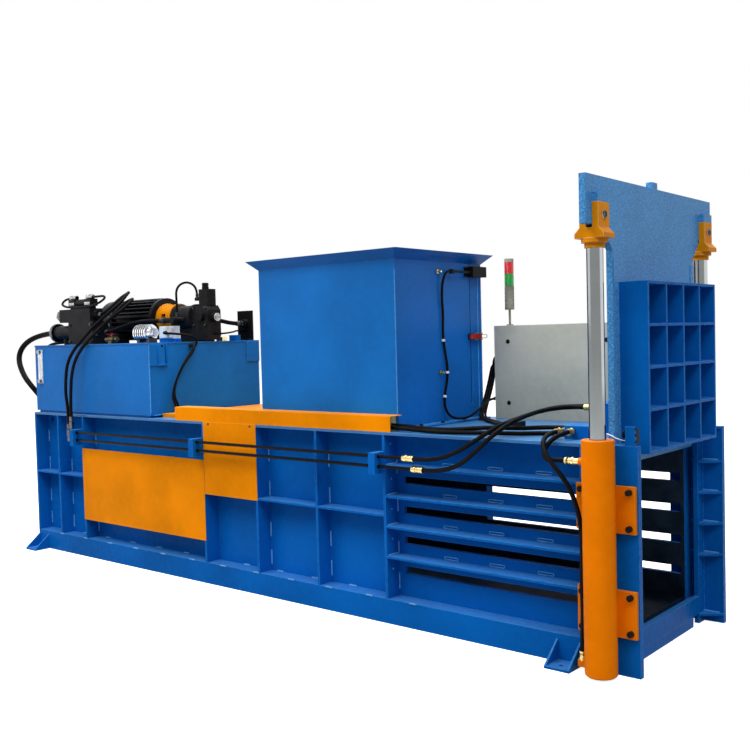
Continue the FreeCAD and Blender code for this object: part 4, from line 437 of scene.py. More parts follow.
# %% [markdown]
# ## Hoses and cables
# A hose is one smooth line through the air between its two fittings, with a round section.
# It could be a bent tube of straight runs and arcs, which looks like wire. A NURBS curve of
# order 3 bends evenly, as rubber does, so each is one, and its control points are those
# that the construction model's tubes follow.

# %% A hose
# Outer diameters, in metres.
HEAVY, WIDE, HOSE, THIN, FINE = 0.04, 0.03, 0.022, 0.016, 0.012
MOTOR_CABLE, CABLE, WIRE = 0.016, 0.014, 0.005


def hose(name, node, diameter, points, finish):
    """One hose through its points, standing for part of a node of the construction."""
    curve = bpy.data.curves.new(name, "CURVE")
    curve.dimensions = "3D"
    spline = curve.splines.new("NURBS")
    spline.points.add(len(points) - 1)
    for target, point in zip(spline.points, points):
        target.co = (*point, 1)
    spline.order_u = 3
    spline.use_endpoint_u = True
    curve.resolution_u = 6
    curve.bevel_depth = diameter / 2
    curve.bevel_resolution = 4
    curve.use_fill_caps = True
    made = bpy.data.objects.new(name, curve)
    bpy.context.scene.collection.objects.link(made)
    curve.materials.append(finish)
    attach(made, "frame")
    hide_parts(node)


def lay(lines, node, finish):
    """Hoses of one node, by name: each has its diameter, its length and its points."""
    for name, (diameter, length, points) in lines.items():
        hose(name, node, diameter, points, finish)
    print(node, "laid:", ", ".join(lines))


# %% Hoses of the power unit
power_lines = {
    "tail_line": (HEAVY, 1.004, [
        (-2.196, -0.33, 1.578), (-2.34, -0.33, 1.578), (-2.5, -0.396, 1.522),
        (-2.56, -0.436, 1.408), (-2.44, -0.462, 1.262), (-2.32, -0.432, 1.145),
        (-2.32, -0.35, 1.05), (-2.32, -0.35, 0.96),
    ]),
    "drain_line": (HOSE, 0.825, [
        (-2.098, -0.29, 1.508), (-2.2, -0.29, 1.508), (-2.316, -0.316, 1.492),
        (-2.396, -0.352, 1.4), (-2.39, -0.316, 1.285), (-2.322, -0.24, 1.175),
        (-2.29, -0.21, 1.065), (-2.29, -0.21, 0.96),
    ]),
    "delivery_line": (WIDE, 0.49, [
        (-1.19, -0.105, 1.642), (-1.292, -0.105, 1.642), (-1.405, -0.16, 1.64),
        (-1.49, -0.232, 1.606), (-1.54, -0.292, 1.572), (-1.608, -0.292, 1.572),
    ]),
    "pump_pilot_line": (THIN, 0.407, [
        (-1.094, -0.06, 1.676), (-1.094, -0.06, 1.765), (-1.096, -0.062, 1.858),
        (-1.063, -0.032, 1.902), (-1.019, 0.007, 1.902), (-0.987, 0.035, 1.858),
        (-0.987, 0.035, 1.805),
    ]),
    "return_line": (WIDE, 0.258, [
        (-0.979, 0.13, 1.64), (-0.979, 0.205, 1.64), (-0.94, 0.31, 1.612), (-0.94, 0.38, 1.612),
    ]),
    "small_return_line": (FINE, 0.432, [
        (-0.819, 0.06, 1.54), (-0.79, 0.06, 1.54), (-0.776, 0.118, 1.544),
        (-0.808, 0.205, 1.552), (-0.88, 0.29, 1.559), (-0.95, 0.345, 1.56), (-0.95, 0.405, 1.56),
    ]),
    "valve_pilot_line": (THIN, 0.817, [
        (-1.958, -0.335, 1.827), (-1.998, -0.335, 1.827), (-2.032, -0.352, 1.81),
        (-2.018, -0.378, 1.782), (-1.95, -0.386, 1.763), (-1.86, -0.384, 1.757),
        (-1.77, -0.388, 1.758), (-1.68, -0.388, 1.757), (-1.6, -0.388, 1.763),
        (-1.53, -0.38, 1.784), (-1.512, -0.352, 1.812), (-1.55, -0.338, 1.829),
        (-1.615, -0.335, 1.827), (-1.683, -0.335, 1.827),
    ]),
}
lay(power_lines, "power_hoses", rubber)

# %% Hoses from the valves to the side pipes
pipe_lines = {
    "lower_pipe_line": (HOSE, 1.525, [
        (-1.616, -0.335, 1.7), (-1.568, -0.335, 1.7), (-1.556, -0.268, 1.76),
        (-1.574, -0.172, 1.823), (-1.548, -0.128, 1.853), (-1.476, -0.182, 1.852),
        (-1.462, -0.24, 1.798), (-1.466, -0.3, 1.749), (-1.508, -0.37, 1.681),
        (-1.571, -0.42, 1.609), (-1.599, -0.482, 1.534), (-1.66, -0.522, 1.456),
        (-1.706, -0.546, 1.37), (-1.72, -0.556, 1.27), (-1.722, -0.562, 1.15),
        (-1.698, -0.56, 1.024), (-1.698, -0.56, 0.899),
    ]),
    "upper_pipe_line": (HOSE, 1.505, [
        (-1.608, -0.372, 1.56), (-1.566, -0.372, 1.56), (-1.535, -0.345, 1.622),
        (-1.507, -0.282, 1.708), (-1.505, -0.19, 1.783), (-1.472, -0.15, 1.806),
        (-1.404, -0.205, 1.798), (-1.392, -0.27, 1.747), (-1.44, -0.37, 1.664),
        (-1.492, -0.418, 1.602), (-1.517, -0.482, 1.532), (-1.578, -0.522, 1.455),
        (-1.624, -0.546, 1.37), (-1.652, -0.555, 1.27), (-1.656, -0.562, 1.16),
        (-1.666, -0.56, 1.055), (-1.666, -0.56, 0.951),
    ]),
}
lay(pipe_lines, "pipe_hoses", brown_rubber)

# %% Hoses over the deck to the distributors
gate_lines = {
    "upper_gate_line": (HOSE, 1.11, [
        (1.342, -0.56, 0.881), (1.46, -0.56, 0.881), (1.59, -0.558, 0.922), (1.7, -0.55, 0.986),
        (1.78, -0.474, 1.054), (1.805, -0.35, 1.078), (1.818, -0.21, 1.097),
        (1.862, -0.085, 1.118), (1.942, 0.02, 1.121), (2.02, 0.02, 1.121),
    ]),
    "lower_gate_line": (HOSE, 1.064, [
        (1.399, -0.56, 0.829), (1.5, -0.56, 0.829), (1.62, -0.558, 0.868), (1.715, -0.562, 0.94),
        (1.79, -0.548, 1.01), (1.842, -0.476, 1.068), (1.856, -0.37, 1.092),
        (1.864, -0.25, 1.108), (1.895, -0.13, 1.118), (1.95, -0.05, 1.121), (2.02, -0.05, 1.121),
    ]),
    "first_channel_line": (HOSE, 0.955, [
        (1.12, -0.437, 1.03), (1.2, -0.437, 1.03), (1.34, -0.423, 1.018), (1.48, -0.424, 1.02),
        (1.62, -0.414, 1.034), (1.72, -0.392, 1.04), (1.8, -0.345, 1.034), (1.88, -0.293, 1.036),
        (1.96, -0.268, 1.04), (2.04, -0.268, 1.04),
    ]),
    "second_channel_line": (HOSE, 0.954, [
        (1.12, -0.472, 1.022), (1.2, -0.472, 1.022), (1.34, -0.47, 1.013), (1.48, -0.468, 1.013),
        (1.61, -0.456, 1.015), (1.715, -0.432, 1.017), (1.81, -0.392, 1.014),
        (1.885, -0.338, 1.013), (1.96, -0.304, 1.015), (2.04, -0.304, 1.015),
    ]),
}
lay(gate_lines, "gate_hoses", rubber)

# %% Hoses of the near gate cylinder
port_lines = {
    "low_port_line": (HOSE, 1.136, [
        (2.066, -0.425, 1.036), (2.066, -0.505, 1.036), (2.082, -0.584, 0.994),
        (2.15, -0.622, 0.924), (2.22, -0.612, 0.842), (2.25, -0.59, 0.752),
        (2.262, -0.566, 0.65), (2.264, -0.562, 0.53), (2.259, -0.564, 0.4),
        (2.263, -0.561, 0.28), (2.258, -0.562, 0.18), (2.258, -0.562, 0.092),
    ]),
    "high_port_line": (HOSE, 0.324, [
        (2.124, -0.415, 1.036), (2.124, -0.47, 1.036), (2.098, -0.535, 1.01),
        (2.08, -0.568, 0.958), (2.108, -0.583, 0.926), (2.15, -0.585, 0.932),
        (2.202, -0.585, 0.932),
    ]),
}
lay(port_lines, "cylinder_hoses", rubber)

# %% Electric cables
cable_runs = {
    "sensor_cable": (CABLE, 1.293, [
        (1.151, 0.063, 1.846), (1.151, 0.024, 1.846), (1.142, 0, 1.795), (1.136, -0.004, 1.71),
        (1.134, 0.01, 1.61), (1.136, -0.002, 1.51), (1.134, 0.016, 1.41), (1.136, 0.038, 1.32),
        (1.134, 0.036, 1.24), (1.137, 0.004, 1.165), (1.142, -0.008, 1.095),
        (1.156, 0.022, 1.038), (1.18, 0.092, 1.02), (1.187, 0.19, 1.032), (1.187, 0.29, 1.072),
        (1.186, 0.37, 1.113), (1.186, 0.43, 1.113),
    ]),
    "cabinet_cable_a": (CABLE, 0.958, [
        (1.188, 0.524, 1.403), (1.148, 0.524, 1.403), (1.144, 0.514, 1.335),
        (1.147, 0.494, 1.24), (1.15, 0.446, 1.14), (1.166, 0.372, 1.062), (1.21, 0.29, 1.014),
        (1.3, 0.215, 1.009), (1.395, 0.14, 1.009), (1.47, 0.066, 1.01), (1.516, 0.038, 1.011),
        (1.56, 0.038, 1.011),
    ]),
    "cabinet_cable_b": (CABLE, 0.918, [
        (1.188, 0.498, 1.361), (1.148, 0.498, 1.361), (1.144, 0.49, 1.305), (1.147, 0.468, 1.24),
        (1.15, 0.42, 1.14), (1.166, 0.346, 1.062), (1.21, 0.264, 1.014), (1.3, 0.189, 1.009),
        (1.395, 0.114, 1.009), (1.47, 0.04, 1.01), (1.516, 0.012, 1.011), (1.56, 0.012, 1.011),
    ]),
    "cabinet_cable_c": (CABLE, 0.876, [
        (1.188, 0.472, 1.318), (1.148, 0.472, 1.318), (1.146, 0.446, 1.24), (1.15, 0.394, 1.14),
        (1.166, 0.32, 1.062), (1.21, 0.238, 1.014), (1.3, 0.163, 1.009), (1.395, 0.088, 1.009),
        (1.47, 0.014, 1.01), (1.516, -0.014, 1.011), (1.56, -0.014, 1.011),
    ]),
    "motor_cable_a": (MOTOR_CABLE, 0.841, [
        (-1.006, -0.226, 1.555), (-1.006, -0.258, 1.555), (-0.95, -0.268, 1.551),
        (-0.89, -0.215, 1.545), (-0.848, -0.14, 1.532), (-0.84, -0.092, 1.492),
        (-0.842, -0.135, 1.44), (-0.842, -0.21, 1.358), (-0.842, -0.268, 1.272),
        (-0.84, -0.306, 1.185), (-0.828, -0.314, 1.12), (-0.8, -0.307, 1.078),
        (-0.8, -0.307, 1.025),
    ]),
    "motor_cable_b": (MOTOR_CABLE, 0.532, [
        (-0.845, -0.15, 1.466), (-0.806, -0.15, 1.466), (-0.796, -0.172, 1.424),
        (-0.808, -0.228, 1.362), (-0.818, -0.282, 1.28), (-0.82, -0.322, 1.195),
        (-0.816, -0.34, 1.125), (-0.8, -0.328, 1.07), (-0.8, -0.328, 1.025),
    ]),
}
lay(cable_runs, "cables", cable_rubber)
switch_wires = {
    "gate_switch_wire": (WIRE, 0.197, [
        (2.296, -0.44, 1), (2.296, -0.44, 1.028), (2.32, -0.457, 1.046), (2.36, -0.474, 1.042),
        (2.41, -0.48, 1.019), (2.45, -0.48, 1.019),
    ]),
}
lay(switch_wires, "cables", white_plastic)

# %% [markdown]
# ## Finishes on the construction's own plates
# Most plates are right as they were built, so they only need their paint, which costs no
# new mesh. A node that holds several things, such as a block with its screws, gets one
# finish per face, chosen by the place of the face.


# %% Dress a node
def dress(name, finish, *zones):
    """Gives a node its finish. Each zone is (finish, low corner, high corner), in metres."""
    mesh = nodes[name].data
    mesh.materials.clear()
    mesh.materials.append(finish)
    for polygon in mesh.polygons:
        polygon.material_index = 0
    for other, low, high in zones:
        mesh.materials.append(other)
        index = len(mesh.materials) - 1
        for polygon in mesh.polygons:
            if all(a <= c <= b for a, c, b in zip(low, polygon.center, high)):
                polygon.material_index = index


# %% Nodes of one finish
for finish, names in (
    (blue_enamel, "base_rails side_ribs chamber_bars gate_post_near gate_post_far front_sill"),
    (blue_enamel, "tail_plate anchor_feet gate_grid ram pipe_clamps cabinet_arms distributor"),
    (hammered_blue, "hopper_body hopper_hatch oil_tank"),
    (gate_enamel, "gate_plate"),
    (deck_enamel, "deck_plates"),
    (orange_enamel, "side_covers top_covers"),
    (yellow_enamel, "gate_yokes"),
    (barrel_enamel, "gate_barrels"),
    (bell_enamel, "bell_housing"),
    (grey_enamel, "cabinet_case cabinet_door"),
    (black_enamel, "main_cylinder motor_body fan_cover"),
    (pipe_enamel, "side_pipes"),
    (cast_black, "barrel_bolts pump"),
    (chrome, "gate_rods ram_rod"),
    (steel, "ram_shoes motor_rotor"),
    (dark_inner_steel, "floor_plate"),
    (dark_steel, "hopper_hardware"),
    (zinc, "gate_pins latch_base"),
    (brass, "ball_valve"),
    (red_plastic, "latch_lever"),
    (dull_red, "ball_valve_lever"),
    (black_plastic, "hatch_switch door_handle"),
    (grey_plastic, "signal_tower"),
):
    for name in names.split():
        dress(name, finish)
print("nodes of one finish are dressed")

# %% Nodes of several finishes
WALL_FACE, WALL_SKIN = 0.380, 0.0015
for name, side in (("side_wall_near", -1), ("side_wall_far", 1)):
    inner = sorted((side * (WALL_FACE - WALL_SKIN), side * (WALL_FACE + WALL_SKIN)))
    dress(name, blue_enamel, (dark_inner_steel, (-3, inner[0], 0), (2.36, inner[1], 1.2)))
dress("level_gauge", zinc, (white_plastic, (-2.17, -0.52, 1.241), (-2.12, -0.486, 1.429)))
dress("valve_block", cast_black, (grey_iron, (-2.2, -0.6, 1.63), (-2.0365, 0, 1.78)))
dress("return_filter", aluminium, (dark_steel, (-1.2, -0.45, 1.4), (-0.9, -0.34, 1.5205)))
dress("terminal_box", pale_plastic, (blue_enamel, (-1.2, -0.21, 1.48), (-0.9, -0.14, 1.5165)))
dress(
    "return_block",
    black_enamel,
    (blue_enamel, (-0.96, 0.285, 1.4), (-0.88, 0.336, 1.6)),
    (yellow_zinc, (-0.99, 0.19, 1.4), (-0.91, 0.24, 1.6)),
)
dress("tower_lenses", green_lens, (red_lens, (1.1, 0.4, 1.8435), (1.3, 0.7, 2.0)))
dress("limit_switch", black_plastic, (blue_enamel, (2.40, -0.5045, 0.99), (2.55, -0.4955, 1.2)))
dress(
    "hose_fittings",
    yellow_zinc,
    (grey_iron, (-2.3, -0.8, 0.7), (-1.0, 0, 1.1)),
    (black_plastic, (1.5, -0.04, 0.99), (1.7, 0.07, 1.05)),
)
print("nodes with a finish:", sum(1 for node in nodes.values() if node.data.materials))

# %% [markdown]
# ## Small parts
# What repeats is modelled once and copied. A turned part is a profile spun round +Z, and a
# plate is a block with eased edges, so that both catch a line of light as real ones do.
# Copies of one part that belong together are joined, which keeps the list of pieces short.


# %% Modelling tools
def opened(name):
    """An empty mesh, open in edit mode."""
    bpy.ops.object.select_all(action="DESELECT")
    bpy.ops.mesh.primitive_plane_add()
    made = bpy.context.object
    made.name = name
    bpy.ops.object.mode_set(mode="EDIT")
    bpy.ops.mesh.select_all(action="SELECT")
    bpy.ops.mesh.delete(type="VERT")
    return made


def pick(made, test):
    """Selects the vertices whose place passes the test."""
    bpy.ops.mesh.select_mode(type="VERT")
    bpy.ops.mesh.select_all(action="DESELECT")
    shape = bmesh.from_edit_mesh(made.data)
    for vertex in shape.verts:
        vertex.select = test(vertex.co)
    shape.select_flush(True)
    bmesh.update_edit_mesh(made.data)


def turned(name, profile, steps=24, closed=False):
    """A profile of (radius, height) spun round +Z. A ring's profile is closed."""
    made = opened(name)
    shape = bmesh.from_edit_mesh(made.data)
    line = [shape.verts.new((radius, 0, height)) for radius, height in profile]
    for first, second in zip(line, line[1:] + line[:1] if closed else line[1:]):
        shape.edges.new((first, second))
    bmesh.update_edit_mesh(made.data)
    bpy.ops.mesh.select_all(action="SELECT")
    bpy.ops.mesh.spin(steps=steps, angle=2 * math.pi, center=(0, 0, 0), axis=(0, 0, 1))
    bpy.ops.mesh.select_all(action="SELECT")
    bpy.ops.mesh.remove_doubles(threshold=0.00002)
    bpy.ops.mesh.normals_make_consistent(inside=False)
    return made


def hexagon(name, across, low, high, chamfer=0.0012):
    """A six-sided prism along +Z with eased edges."""
    made = opened(name)
    middle = (0, 0, (low + high) / 2)
    bpy.ops.mesh.primitive_cylinder_add(
        vertices=6, radius=across / math.sqrt(3), depth=high - low, location=middle
    )
    bpy.ops.mesh.select_all(action="SELECT")
    bpy.ops.mesh.bevel(offset=chamfer, segments=1)
    return made


def slab(name, low, high, ease):
    """A block between two corners with eased edges."""
    made = opened(name)
    bpy.ops.mesh.primitive_cube_add(size=1, location=(0, 0, 0))
    bpy.ops.transform.resize(value=[b - a for a, b in zip(low, high)])
    bpy.ops.transform.translate(value=[(a + b) / 2 for a, b in zip(low, high)])
    bpy.ops.mesh.bevel(offset=ease, segments=2)
    return made


# %% Finishing and copying
SMOOTH_BELOW = math.radians(35)
ALONG_X, AGAINST_X, AGAINST_Y, UPRIGHT = (1, 0, 0), (-1, 0, 0), (0, -1, 0), (0, 0, 1)


def settled(made, finish, body="frame"):
    """Closes a piece and gives it its finish and its body."""
    if made.mode == "EDIT":
        bpy.ops.object.mode_set(mode="OBJECT")
    bpy.ops.object.select_all(action="DESELECT")
    made.select_set(True)
    bpy.context.view_layer.objects.active = made
    bpy.ops.object.shade_smooth_by_angle(angle=SMOOTH_BELOW)
    made.data.materials.clear()
    made.data.materials.append(finish)
    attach(made, body)


def facing(place, way, turn=0.0, scale=(1, 1, 1)):
    """The matrix that puts +Z along a direction at a place, turned round that direction."""
    aim = Vector(way).to_track_quat("Z", "Y").to_matrix().to_4x4()
    turned_aim = Matrix.Translation(place) @ aim @ Matrix.Rotation(turn, 4, "Z")
    return turned_aim @ Matrix.Diagonal((*scale, 1))


def copies(master, name, spots, finish, body="frame"):
    """Copies of a part, each with its own mesh, joined as one piece. The master goes."""
    bpy.ops.object.mode_set(mode="OBJECT")
    made = []
    for spot in spots:
        copy = master.copy()
        copy.data = master.data.copy()
        copy.data.transform(spot)
        bpy.context.scene.collection.objects.link(copy)
        made.append(copy)
    bpy.data.objects.remove(master)
    bpy.ops.object.select_all(action="DESELECT")
    for copy in made:
        copy.select_set(True)
    bpy.context.view_layer.objects.active = made[0]
    bpy.ops.object.join()
    made[0].name = name
    settled(made[0], finish, body)
    print(name, len(spots))


def lathe(name, profile, steps, spots, finish, closed=False, body="frame"):
    """A turned part, copied to its places as one piece."""
    copies(turned(name + "_master", profile, steps, closed), name, spots, finish, body)


# %% [markdown]
# ### Hose ends
# Each hose ends in a crimped ferrule and a swivel nut. Those on the deck and at the gate's
# cylinder are yellow zinc, those of the two hoses from the valves are grey, and those of
# the power unit are black. They are turned once for each size of hose, and placed by the
# ends of the hose's own curve, so that they always meet it.


# %% Ferrules and nuts
CRIMPS, COLLAR, GROOVE = 5, 0.005, 0.002


def ends_of(name):
    """Where a hose ends, and which way it leaves."""
    points = [Vector(point.co[:3]) for point in bpy.data.objects[name].data.splines[0].points]
    return [(points[0], points[1] - points[0]), (points[-1], points[-2] - points[-1])]


def ferrule(radius, length, proud):
    """A sleeve with crimped rings, which ends in a rolled lip."""
    crimp = (length - 0.012) / CRIMPS
    profile = [(radius * 0.9, 0.004), (radius + proud, 0.004), (radius + proud, COLLAR)]
    for step in range(CRIMPS):
        low = COLLAR + crimp * step
        profile += [
            (radius + proud * 0.5, low),
            (radius + proud, low + GROOVE),
            (radius + proud, low + crimp - GROOVE),
        ]
    profile += [(radius + 0.0020, length - 0.004), (radius + 0.0008, length)]
    profile.append((radius * 0.9, length))
    return turned("ferrule", profile, 20, True)


def plain_ends(label, names, diameter, finish, reach=1.15):
    """Ferrules on the hose itself, with the nut behind them."""
    length = diameter * reach
    spots = [spot for name in names for spot in ends_of(name)]
    ferrules = [
        facing(place, way, 0, (1, 1, min(1, 0.55 * way.length / length))) for place, way in spots
    ]
    sleeve = ferrule(diameter / 2, length, 0.0032)
    copies(sleeve, label + "_ferrules", ferrules, finish)
    nut = hexagon(label + "_nut", diameter * 1.42, -0.75 * diameter, -0.0005)
    copies(nut, label + "_nuts", [facing(*spot) for spot in spots], finish)


def fitted_ends(label, names, diameter, over, first=0):
    """Yellow ferrules and nuts that sit on the construction's long fittings."""
    length = over * 0.58
    spots = [spot for name in names for spot in ends_of(name)[first:]]
    ferrules = [facing(place - way.normalized() * (length - 0.002), way) for place, way in spots]
    sleeve = ferrule(diameter / 2, length, 0.0012)
    copies(sleeve, label + "_ferrules", ferrules, yellow_zinc)
    nut = hexagon(label + "_nut", diameter + 0.0035, -over, -over * 0.66)
    copies(nut, label + "_nuts", [facing(*spot) for spot in spots], yellow_zinc)


fitted_ends("gate", ["upper_gate_line", "lower_gate_line"], 0.030, 0.060)
fitted_ends("port", ["low_port_line", "high_port_line"], 0.0285, 0.040)
plain_ends("pipe", ["lower_pipe_line", "upper_pipe_line"], HOSE, grey_iron, 1.7)
fitted_ends("channel", ["first_channel_line", "second_channel_line"], 0.027, 0.040, first=1)
plain_ends("delivery", ["delivery_line", "return_line"], WIDE, dark_steel)
plain_ends("pilot", ["pump_pilot_line", "valve_pilot_line"], THIN, dark_steel)
plain_ends("drain", ["drain_line"], HOSE, dark_steel)
plain_ends("tail", ["tail_line"], HEAVY, dark_steel)

# %% [markdown]
# ### Welds
# The ribs, bars and gussets are welded on by hand, in short stitches, and the inner chamber
# wall is held through oblong plug welds just above each bar. A bead is a ripple that stands
# out of the corner, too small for the construction, so a thin rod with every second ring
# pinched is laid into each joint.


# %% Weld beads
BEAD, BEAD_RINGS = 0.25, 36


def bead_master(name, radius):
    """A rippled rod along +Z, as long as the longest bead."""
    made = opened(name)
    bpy.ops.mesh.primitive_cylinder_add(
        vertices=7, radius=radius, depth=BEAD, location=(0, 0, BEAD / 2)
    )
    bpy.ops.mesh.select_all(action="DESELECT")
    shape = bmesh.from_edit_mesh(made.data)
    for edge in shape.edges:
        first, second = edge.verts
        edge.select = abs(first.co.z - second.co.z) > BEAD / 2
    bmesh.update_edit_mesh(made.data)
    bpy.ops.mesh.subdivide(number_cuts=BEAD_RINGS - 1)
    step = BEAD / BEAD_RINGS
    pick(made, lambda co: round(co.z / step) % 2 == 1)
    bpy.ops.transform.resize(value=(0.74, 0.74, 1))
    pick(made, lambda co: round(co.z / step) % 5 == 0)
    bpy.ops.transform.resize(value=(1.12, 0.9, 1))
    return made


def run(first, second):
    """The matrices of the beads that fill a straight joint."""
    first, second = Vector(first), Vector(second)
    way = second - first
    count = max(1, round(way.length / BEAD))
    scale = (1, 1, way.length / count / BEAD)
    return [facing(first + way * (step / count), way, step * 0.9, scale) for step in range(count)]


def weld(master, name, spots, body="frame"):
    """Copies of a bead in the paint of the welds, a lighter blue than the plates as a painted
    highlight.
    """
    copies(master, name, spots, lit_weld_enamel, body)


# %% Welds of the frame
# The frame's tail end along X, and the outer face of its wall and edge of its rail along Y.
TAIL, HALF_WALL, RAIL_EDGE = -2.228, 0.405, 0.5055
RIBS = [TAIL + face for face in (0.308, 0.620, 1.905, 2.375, 2.855, 3.340)]
COVERED_RIB, END_RIB = RIBS[2], RIBS[5]
LEVELS = [0.355, 0.513, 0.671, 0.829]
RIB_STITCHES, STITCH = (0.165, 0.330, 0.575, 0.775), 0.085

joints, stitches = [], []
for side in (-1, 1):
    wall = side * HALF_WALL
    for x in [TAIL + 0.020] + RIBS:
        if not (side < 0 and x == COVERED_RIB):
            for low in RIB_STITCHES:
                joints += run((x, wall, low), (x, wall, low + STITCH))
    for level in LEVELS:
        joints += run((END_RIB, side * 0.41, level), (END_RIB, side * 0.495, level))
    for level in LEVELS + [0.050]:
        joints += run((2.257, side * 0.476, level + 0.001), (2.48, side * 0.476, level + 0.001))
    for step in range(12):
        outer, inner = -1.937 + 0.290 * step, -2.090 + 0.285 * step
        edge, foot = side * RAIL_EDGE, side * (HALF_WALL + 0.001)
        stitches += run((outer, edge, 0.1295), (outer + 0.045, edge, 0.1295))
        stitches += run((inner, foot, 0.1310), (inner + 0.050, foot, 0.1310))
weld(bead_master("bead", 0.0060), "frame_welds", joints)
weld(bead_master("stitch", 0.0050), "rail_stitches", stitches)

# %% Seams of hopper and tank
SEAM = 0.0034
seams = []
for side in (-1, 1):
    seams += run((1.123, side * 0.402, 1.08), (1.123, side * 0.402, 1.84))
    seams += run((-0.863, side * 0.483, 1.03), (-0.863, side * 0.483, 1.47))
seams += run((1.126, -0.38, 1.011), (1.126, 0.38, 1.011))
seams += run((-0.861, -0.46, 1.016), (-0.861, 0.46, 1.016))
weld(bead_master("thin_bead", SEAM), "sheet_welds", seams)
hatch_seam = run((1.1235, 0.366, 1.060), (1.1235, 0.366, 1.880))
weld(bead_master("hatch_bead", SEAM), "hatch_seams", hatch_seam, "hatch")

# %% Plug welds
plug = opened("plug_weld")
bpy.ops.mesh.primitive_torus_add(
    major_segments=24, minor_segments=6, major_radius=0.0065, minor_radius=0.0022
)
for end in (1, -1):
    pick(plug, lambda co: co.x * end > 0.0001)
    bpy.ops.transform.translate(value=(end * 0.036, 0, 0))
bpy.ops.mesh.select_all(action="SELECT")
bpy.ops.transform.rotate(value=math.pi / 2, orient_axis="X", center_override=(0, 0, 0))
plugs, rib_dots = [], []
for side in (-1, 1):
    for level in LEVELS:
        for step, x in enumerate((1.450, 1.722, 1.990)):
            height = level + 0.009 + 0.001 * (step % 2)
            plugs.append(Matrix.Translation((x, side * (HALF_WALL + 0.0005), height)))
    for z in (0.279, 0.436, 0.594, 0.752, 0.935):
        rib_dots.append(facing((END_RIB - 0.0002, side * 0.455, z), ALONG_X))
weld(plug, "plug_welds", plugs)
dot_profile = [(0, 0.0035), (0.0035, 0.0030), (0.0060, 0.0010), (0.0065, 0), (0, 0)]
weld(turned("rib_dot", dot_profile, 14), "rib_dots", rib_dots)

# %% [markdown]
# ### Screws
# Two pan-head screws hold the upright cover, and hexagon bolts with washers hold the hopper,
# the pump and the motor. Each kind is one master, a turned head or a hexagon on a washer,
# copied to its places, because the eye knows a bolt by its edges and its shadow.


# %% Bolt masters
def bolt_master(name, across, height):
    """A hexagon head with a domed edge, on its washer."""
    made = hexagon(name, across, 0.0, height, across * 0.05)
    top = height - 0.0002
    pick(made, lambda co: co.z > top)
    bpy.ops.transform.resize(value=(0.93, 0.93, 1))
    bpy.ops.mesh.primitive_cylinder_add(
        vertices=20, radius=across * 0.66, depth=0.0024, location=(0, 0, 0.0012)
    )
    return made


def bolt_circle(x, y, z, radius, count):
    """The matrices of bolts in a circle round an axis along X, with their heads to -X."""
    angles = [2 * math.pi * (step + 0.5) / count for step in range(count)]
    return [
        facing((x, y + radius * math.sin(angle), z + radius * math.cos(angle)), AGAINST_X)
        for angle in angles
    ]


# %% Screws and bolts
# A third number in facing() turns each hexagon a little, as a spanner leaves it.
pan = [(0, 0.0042), (0.003, 0.0040), (0.0062, 0.0028), (0.0078, 0), (0, 0)]
cover_screws = [facing((x, -0.509, 0.988), AGAINST_Y) for x in (-0.270, 0.100)]
lathe("cover_screws", pan, 16, cover_screws, dark_steel)

DECK_TOP = 1.0105
neck_row = (-0.34, -0.235, -0.037, 0.169, 0.34)
hopper_bolts = [facing((1.150, y, DECK_TOP), UPRIGHT, y) for y in neck_row]
for step in range(5):
    for y in (-0.428, 0.428):
        hopper_bolts.append(facing((0.20 + 0.20 * step, y, DECK_TOP), UPRIGHT, step))
copies(bolt_master("hopper_bolt", 0.019, 0.010), "hopper_bolts", hopper_bolts, dark_steel)

PUMP_Y, PUMP_Z = 0.05, 1.66
unit_bolts = bolt_circle(-1.369, PUMP_Y, PUMP_Z, 0.134, 6)
unit_bolts += bolt_circle(-1.000, PUMP_Y, PUMP_Z, 0.080, 6)
for x in (-0.975, -0.855):
    for z in (1.60, 1.72):
        unit_bolts.append(facing((x, -0.0102, z), AGAINST_Y, x * 9))
for x in (-1.890, -1.630):
    for z in (1.51, 1.63):
        unit_bolts.append(facing((x, -0.4002, z), AGAINST_Y, z * 7))
copies(bolt_master("unit_bolt", 0.017, 0.010), "unit_bolts", unit_bolts, dark_steel)

# %% [markdown]
# ### The power unit's bright parts
# A silver plug closes the pump's control block, and two silver solenoid plugs stand on the
# directional valve, with a grey hexagon cap at its tail end. All are turned on a lathe in
# reality, so they are spun from a profile, which gives their steps and lips in one go.

# %% Pump plug and knob
plug_face = [
    (0, 0.0052), (0.019, 0.0052), (0.021, 0.0040), (0.0215, 0.0010), (0.024, 0.0010),
    (0.0255, 0.0030), (0.0275, 0.0030), (0.0285, 0), (0, 0),
]
face_spot = [facing((-0.7991, 0.050, 1.655), ALONG_X)]
lathe("pump_plug_face", plug_face, 32, face_spot, zinc)
for name, low, high in (
    ("pump_plug_bar", (-0.7944, 0.030, 1.6532), (-0.7930, 0.070, 1.6568)),
    ("pump_plug_cross", (-0.7943, 0.0482, 1.6360), (-0.7929, 0.0518, 1.6740)),
):
    settled(slab(name, low, high, 0.0004), dark_steel)
knob = [
    (0, 0.046), (0.018, 0.046), (0.0235, 0.041), (0.0235, 0.030), (0.0215, 0.028),
    (0.0215, 0.020), (0.0240, 0.017), (0.0240, 0.004), (0, 0.004),
]
knob_spot = [facing((-0.915, PUMP_Y, 1.849), UPRIGHT)]
lathe("pump_knob_grip", knob, 14, knob_spot, black_plastic)

